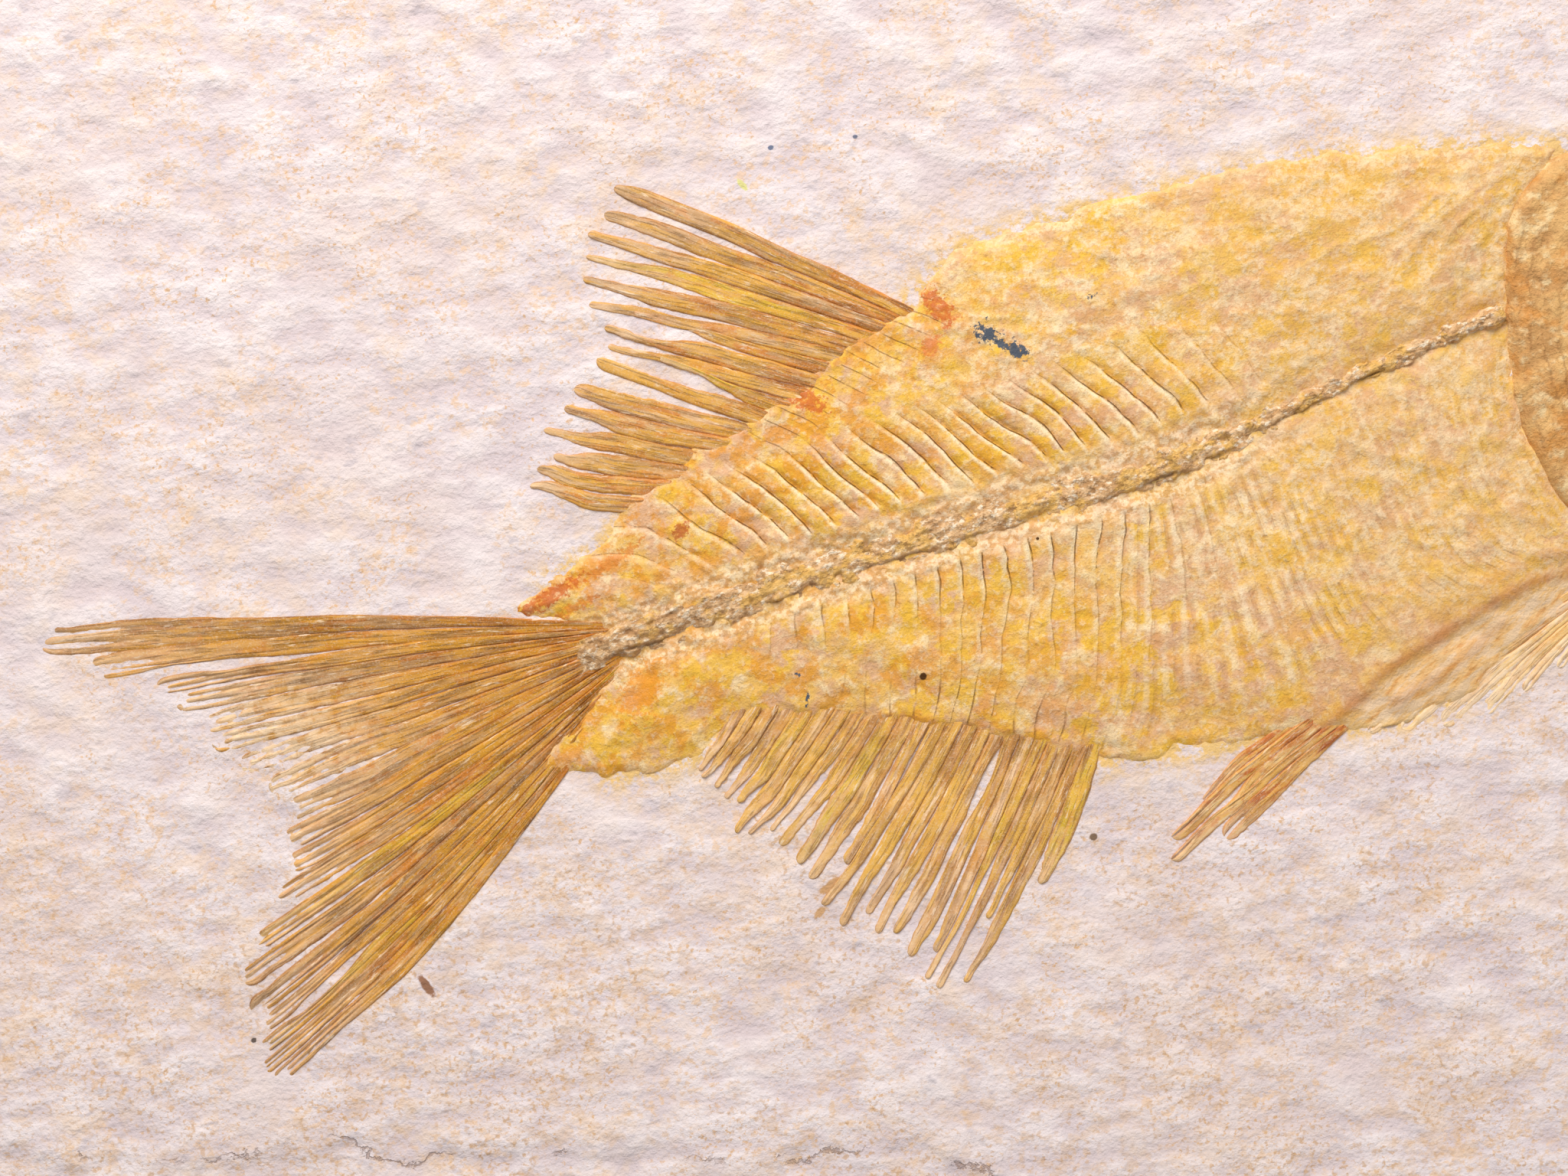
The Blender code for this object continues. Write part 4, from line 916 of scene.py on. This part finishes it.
def make_rays(name, roots, tips, bows, widest, finish, seed, yellow=(), slots=(), split=0,
              parted=(0.35, 0.22), worn=0.0):
    """A fan of rays: flat straps that meet their neighbours and part towards their tips.

    Each side of a ray reaches its share of the way to the next ray: 1.06 of half at the root,
    less beyond parted's first share of its length, by up to its second, and a little more or less
    all along its edge. Slots are gaps (n, from, to) after ray n. Across a ray, with a from -1 to
    1, its height is (1 - a^6)^0.6, and its end closes by a quarter circle. Split grooves part it
    lengthways, and its worn tip is lower and paler.
    """
    w = 1 - np.linspace(1, 0, RAY_GRID[0]) ** 1.25
    lines = fan_lines(roots, tips, bows, w)
    count = len(lines)
    number, gap = np.arange(count)[:, None], np.arange(count + 1)[:, None]
    ahead = np.gradient(lines, axis=1)
    ahead /= np.linalg.norm(ahead, axis=2)[..., None]
    side = np.stack([-ahead[..., 1], ahead[..., 0]], -1)
    wave = 0.26 * lumps(w * 5, number * 5.0, 1.0, seed)
    lines = lines + side * (wave * smooth_step(0.2, 0.8, w))[..., None]
    beyond = np.concatenate([2 * lines[:1] - lines[1:2], lines, 2 * lines[-1:] - lines[-2:-1]])

    # How far each side reaches: fill has a row for each gap between two rays
    part = parted[1] + 0.18 * scatter(gap, 1, seed)
    begin = parted[0] + 0.35 * scatter(gap, 2, seed)
    fill = 1.06 - part * smooth_step(0, 1, (w - begin) / (1 - begin))
    fill += 0.09 * grain(w * 8, gap * 3.3, 1.0, 2, seed + 1)
    fill += 0.07 * lumps(w * 34, gap * 3.3, 1.0, seed + 6)
    for after, first, last in slots:
        middle, reach = (first + last) / 2, (last - first) / 2
        fill[after + 1] -= 0.5 * (1 - smooth_step(0.2, 1.0, np.abs(w - middle) / reach))
    own = 0.86 + 0.28 * scatter(number, 0, seed)
    half = []
    for k in (0, 1):
        reach = np.abs(np.sum((beyond[k * 2 :][:count] - lines) * side, axis=-1))
        half.append(np.clip(0.5 * reach * fill[k:][:count], 0.2, widest * own))
    turn = np.sign(np.mean(np.sum((beyond[2:] - lines) * side, axis=-1)))
    behind, before = half[::int(turn)]

    length = np.linalg.norm(np.diff(lines, axis=1), axis=2)
    along = np.concatenate([np.zeros((count, 1)), np.cumsum(length, axis=1)], 1)
    remains = along[:, -1:] - along
    blunt = np.clip(remains / (0.7 * np.maximum(behind + before, 0.5)), 0.01, 1)
    close = np.sqrt(1 - (1 - blunt) ** 2)
    a = np.linspace(-1, 1, RAY_GRID[1])
    reach = np.where(a < 0, behind[..., None], before[..., None]) * a * close[..., None]
    place = lines[:, :, None] + side[:, :, None] * reach[..., None]

    # Grooves that open to slots near the tip, so that each branch ends where it likes
    groove, branch = 0, 0 * a + 0 * number
    for k in range(split):
        centre = (k + 1) / (split + 1) * 2 - 1 + 0.3 * (scatter(number, 11 + k, seed) - 0.5)
        opens = 0.2 + 0.45 * scatter(number, 21 + k, seed)
        deep = smooth_step(0, 1, (w - opens) / 0.3)[..., None]
        teeth = smooth_step(0.66 + 0.2 * scatter(number, 41 + k, seed), 0.95, w)[..., None]
        away = (a - centre[..., None]) / (0.08 + 0.13 * teeth)
        groove = groove + (0.35 + 0.9 * teeth) * deep * np.exp(-(away**2))
        branch = branch + (a > centre)
    shorter = 1.3 * scatter(branch * 7 + number, 31, seed)[:, None]
    ends = smooth_step(0, 0.5, remains[..., None] - shorter) if split > 1 else 1

    faded = np.broadcast_to(worn, count)[:, None] * smooth_step(0.45, 1.0, w)
    lift = 0.24 - 0.07 * w + 0.1 * (scatter(number, 4, seed) - 0.5)
    rise = (lift * (1 - 0.5 * faded) * close * smooth_step(0, 0.06, w))[..., None] * ends
    x, y = on_slab(place[..., 0], place[..., 1])
    height = split_face(x, y)[0] - 0.03 + rise * (1 - a**6) ** 0.6 * (1 - np.minimum(groove, 1))
    height = height - 0.06 * a * turn * rise / 0.3
    height = height + (0.02 + 0.04 * faded[..., None]) * grain(x, y, 0.7, 2, seed + 3)
    upper = np.stack([x, y, height], -1)
    foot = upper[:, :, [-1, 0]].copy()
    foot[..., 2] = FACE - RAY_SUNK
    rings = np.concatenate([upper, foot], 2)

    spots = np.concatenate([a, (1, -1)])
    across = number[..., None] * 7.3 + (0.5 * (behind + before))[..., None] * spots
    tones = 0.8 * scatter(number, 3, seed)
    tones[list(yellow)] = 1.0
    every = 0 * across
    values = {
        "ray": np.stack([across, along[..., None] + every, tones[..., None] + every], -1),
        "sides": np.stack([spots + every, w[:, None] + every, faded[..., None] + every], -1),
    }
    tubes(name, rings, finish, name, values)


def make_fins():
    """The five fins, each with its own blend of tan, gold, orange and yellow rays."""
    amber = ray_finish("fin_rays", (232, 190, 140), (208, 162, 108), (236, 178, 70), (220, 138, 58),
                       (232, 200, 50), (194, 132, 66), (132, 88, 42))
    olive = ray_finish("anal_rays", (242, 202, 156), (218, 168, 118), (234, 182, 78), (218, 154, 78),
                       (222, 192, 40), (200, 144, 84), (152, 104, 60))
    rust = ray_finish("tail_rays", (220, 172, 116), (192, 144, 90), (226, 162, 48), (210, 126, 34),
                      (222, 186, 44), (176, 118, 58), (108, 68, 26))
    fox = ray_finish("pelvic_rays", (250, 220, 160), (230, 176, 110), (238, 184, 92), (204, 106, 42),
                     (240, 212, 120), (212, 142, 72), (160, 84, 36))
    straw = ray_finish("pectoral_rays", (255, 232, 200), (252, 214, 164), (252, 212, 138),
                       (238, 176, 98), (250, 220, 130), (242, 196, 136), (216, 150, 84))

    n = np.arange(len(DORSAL_TIPS))
    s = 31.6 - 0.95 * n - 0.036 * n**2
    roots = np.stack([s + 1.0, level(BACK, s) - 1.9], 1)
    make_rays("dorsal_fin", roots, DORSAL_TIPS, np.linspace(-0.3, 0.4, len(n)), 0.8,
              amber, 51, yellow=(3, 9), slots=((9, 0.25, 0.95), (10, 0.5, 0.95), (6, 0.55, 0.95)),
              parted=(0.45, 0.6))
    n = np.arange(len(ANAL_TIPS))
    s = 33.2 - 0.8 * n - 0.0125 * n**2
    roots = np.stack([s + 1.2, level(BELLY, s) + 1.9], 1)
    make_rays("anal_fin", roots, ANAL_TIPS, 0.25, 0.75, olive, 52, yellow=(0, 4, 14, 19),
              slots=((3, 0.5, 0.95), (6, 0.1, 0.5), (11, 0.15, 0.95), (15, 0.4, 0.95)),
              parted=(0.35, 0.52))
    n = np.linspace(0, 1, len(TAIL_TIPS))
    roots = bezier((2.4, 0.9), (3.0, -0.9), (1.8, -3.0), n)
    worn = np.exp(-(((np.arange(len(n)) - 5.5) / 2.6) ** 2))
    make_rays("tail_fin", roots, TAIL_TIPS, np.linspace(-0.8, 1.4, len(n)), 1.9, rust, 53,
              yellow=(12, 16), slots=((1, 0.6, 0.95), (15, 0.7, 0.95)), split=2, parted=(0.5, 0.16),
              worn=worn)
    roots = bezier((52.2, -23.6), (53.6, -24.6), (53.4, -26.0), np.linspace(0, 1, len(PELVIC_TIPS)))
    make_rays("pelvic_fin", roots, PELVIC_TIPS, -0.3, 0.8, fox, 54, split=1,
              parted=(0.55, 0.15))
    roots = bezier((78.2, -21.6), (79.0, -22.3), (78.6, -23.0), np.linspace(0, 1, len(PECTORAL_TIPS)))
    make_rays("pectoral_fin", roots, PECTORAL_TIPS, np.linspace(-0.75, -0.2, len(roots)),
              1.1, straw, 55, split=1, worn=0.9)


def make_plate(name, outline, centre, crown, finish, socket=0.0):
    """A bone plate from its centre out to a smooth outline, domed, faintly ribbed, thin at its rim.

    Growth lines follow the outline and low ribs fan out from the centre. A socket is a round pit
    of that radius about the centre, with a raised lip.
    """
    rows, count = PLATE_GRID
    turn = closed_curve(outline, count)
    out = np.linspace(0, 1, rows)[:, None]
    from_centre = (turn - centre) * out[..., None]
    x, y = on_slab(from_centre[..., 0] + centre[0], from_centre[..., 1] + centre[1])
    reach = np.linalg.norm(from_centre, axis=-1)
    fan = np.sin(np.arctan2(from_centre[..., 1], from_centre[..., 0]) * 23)
    grow = out * 7 + 0 * reach
    height = crown * (1 - 0.4 * out**2) + 0.035 * fan * smooth_step(2, 7, reach)
    height = height + 0.03 * np.sin(TAU * grow) + 0.13 * grain(x, y, 2.2, 4, 61)
    if socket:
        height = height - 1.0 * (1 - smooth_step(socket - 0.7, socket, reach))
        height = height + 0.22 * np.exp(-(((reach - socket - 0.35) / 0.4) ** 2))
    ragged = reach[-1] - reach + 0.25 * lumps(x, y, 1.6, 62)
    height = height * smooth_step(-0.3, 0.9, ragged) - 0.3 * (1 - smooth_step(-0.2, 0.5, ragged))
    points = np.stack([x, y, FACE + height], -1)
    foot = points[-1].copy()
    foot[:, 2] = FACE - HEAD_SUNK
    grid = np.concatenate([points[0, :1], points[1:].reshape(-1, 3), foot])
    number = 1 + np.arange(rows * count).reshape(rows, count)
    after = np.roll(number, -1, axis=1)
    bands = np.stack([number[:-1], number[1:], after[1:], after[:-1]], -1).reshape(-1, 4)
    faces = [(0, int(a), int(b)) for a, b in zip(number[0], after[0])] + bands.tolist()
    faces.append(number[-1][::-1].tolist())
    grown = np.concatenate([grow[0, :1], grow[1:].ravel(), grow[-1]])
    new_piece(name, grid, faces, finish, name, {"grow": grown})


def make_head(finish):
    """Gill cover, skull with its eye socket, and the lower jaw: a curved bar of height 1 - 0.55a^2."""
    gill = np.concatenate([GILL_REAR, GILL_FRONT])
    make_plate("gill_cover", gill, GILL_CENTRE, 1.15, finish)
    make_plate("skull", SKULL[::-1], EYE_CENTRE, 1.1, finish, socket=EYE_RADIUS)
    w = np.linspace(0, 1, JAW_GRID[0])[:, None]
    line = bezier(*JAW_PATH, w)
    ahead = np.gradient(line, axis=0)
    side = np.stack([-ahead[..., 1], ahead[..., 0]], -1) / np.linalg.norm(ahead, axis=-1)[..., None]
    half = (JAW_HALF_WIDTH + 0.15) * (0.4 + 0.6 * np.sin(np.pi * w) ** 0.7)
    a = np.linspace(-1, 1, JAW_GRID[1])
    place = line + side * (half * a * np.where(a > 0, 1.5, 1))[..., None]
    x, y = on_slab(place[..., 0], place[..., 1])
    teeth = 0.12 * np.abs(np.sin(np.pi * w * 34)) * smooth_step(0.5, 0.95, a) * smooth_step(0.45, 0.6, w)
    height = 1.15 * (1 - 0.55 * a**2) + 0.1 * grain(x, y, 1.8, 3, 63) + teeth
    height = height * smooth_step(0, 0.18, 1 - np.abs(a)) * smooth_step(0, 0.03, np.minimum(w, 1 - w))
    top = np.stack([x, y, FACE - 0.15 + height], -1)
    grow = {"grow": w * 9 + 0 * a}
    shell("lower_jaw", top, FACE - HEAD_SUNK, finish, "lower_jaw", grow)


def make_floor():
    """A plain pale floor under the slab."""
    half, clear = 3.0, 0.00005
    mesh = bpy.data.meshes.new("floor")
    corners = ((-half, -half), (half, -half), (half, half), (-half, half))
    mesh.from_pydata([(x, y, -clear) for x, y in corners], [], [(0, 1, 2, 3)])
    f = Finish("floor_paint", 0.8)
    f.tone = f.mix(f.noise(60, 2), (202, 202, 200), (208, 207, 205))
    mesh.materials.append(f.done())
    floor = bpy.data.objects.new("floor", mesh)
    bpy.context.scene.collection.objects.link(floor)


def aim(location, forward, up):
    """The placing of a camera or light that looks along forward with its top towards up."""
    back = -forward.normalized()
    right = up.cross(back).normalized()
    turned = Matrix((right, back.cross(right), back)).transposed().to_4x4()
    return Matrix.Translation(location) @ turned


def light_and_camera():
    """The camera looks straight down on the fish; the main light comes low from the picture's top."""
    middle = Vector((*(np.array(PICTURE_CENTRE) + TAIL_ROOT), FACE)) * MM
    camera = bpy.data.objects.new("camera", bpy.data.cameras.new("camera"))
    camera.data.lens, camera.data.sensor_width = LENS, SENSOR
    away = PICTURE_WIDTH * MM * LENS / SENSOR
    camera.matrix_world = aim(middle + Vector((0, 0, away)), Vector((0, 0, -1)), PICTURE_UP)
    camera.data.clip_start = 0.01
    bpy.context.scene.collection.objects.link(camera)
    bpy.context.scene.camera = camera
    for name, (right, up, out), size, watts in LIGHTS:
        lamp = bpy.data.lights.new(name, "AREA")
        lamp.size, lamp.energy, lamp.color = size, watts, LAMP_TINT
        light = bpy.data.objects.new(name, lamp)
        offset = PICTURE_UP * up + PICTURE_RIGHT * right + Vector((0, 0, out))
        light.matrix_world = aim(middle + offset, -offset, Vector((0, 0, 1)))
        bpy.context.scene.collection.objects.link(light)
    world = bpy.data.worlds.new("studio")
    world.use_nodes = True
    for socket, value in zip(world.node_tree.nodes["Background"].inputs, (ROOM_TINT, ROOM_LIGHT)):
        socket.default_value = value
    bpy.context.scene.world = world
    bpy.context.scene.view_settings.view_transform = "Standard"


make_slab(limestone())
make_flank(flank())
make_backbone(backbone_bone())
make_fins()
make_head(head_bone())
make_floor()
light_and_camera()
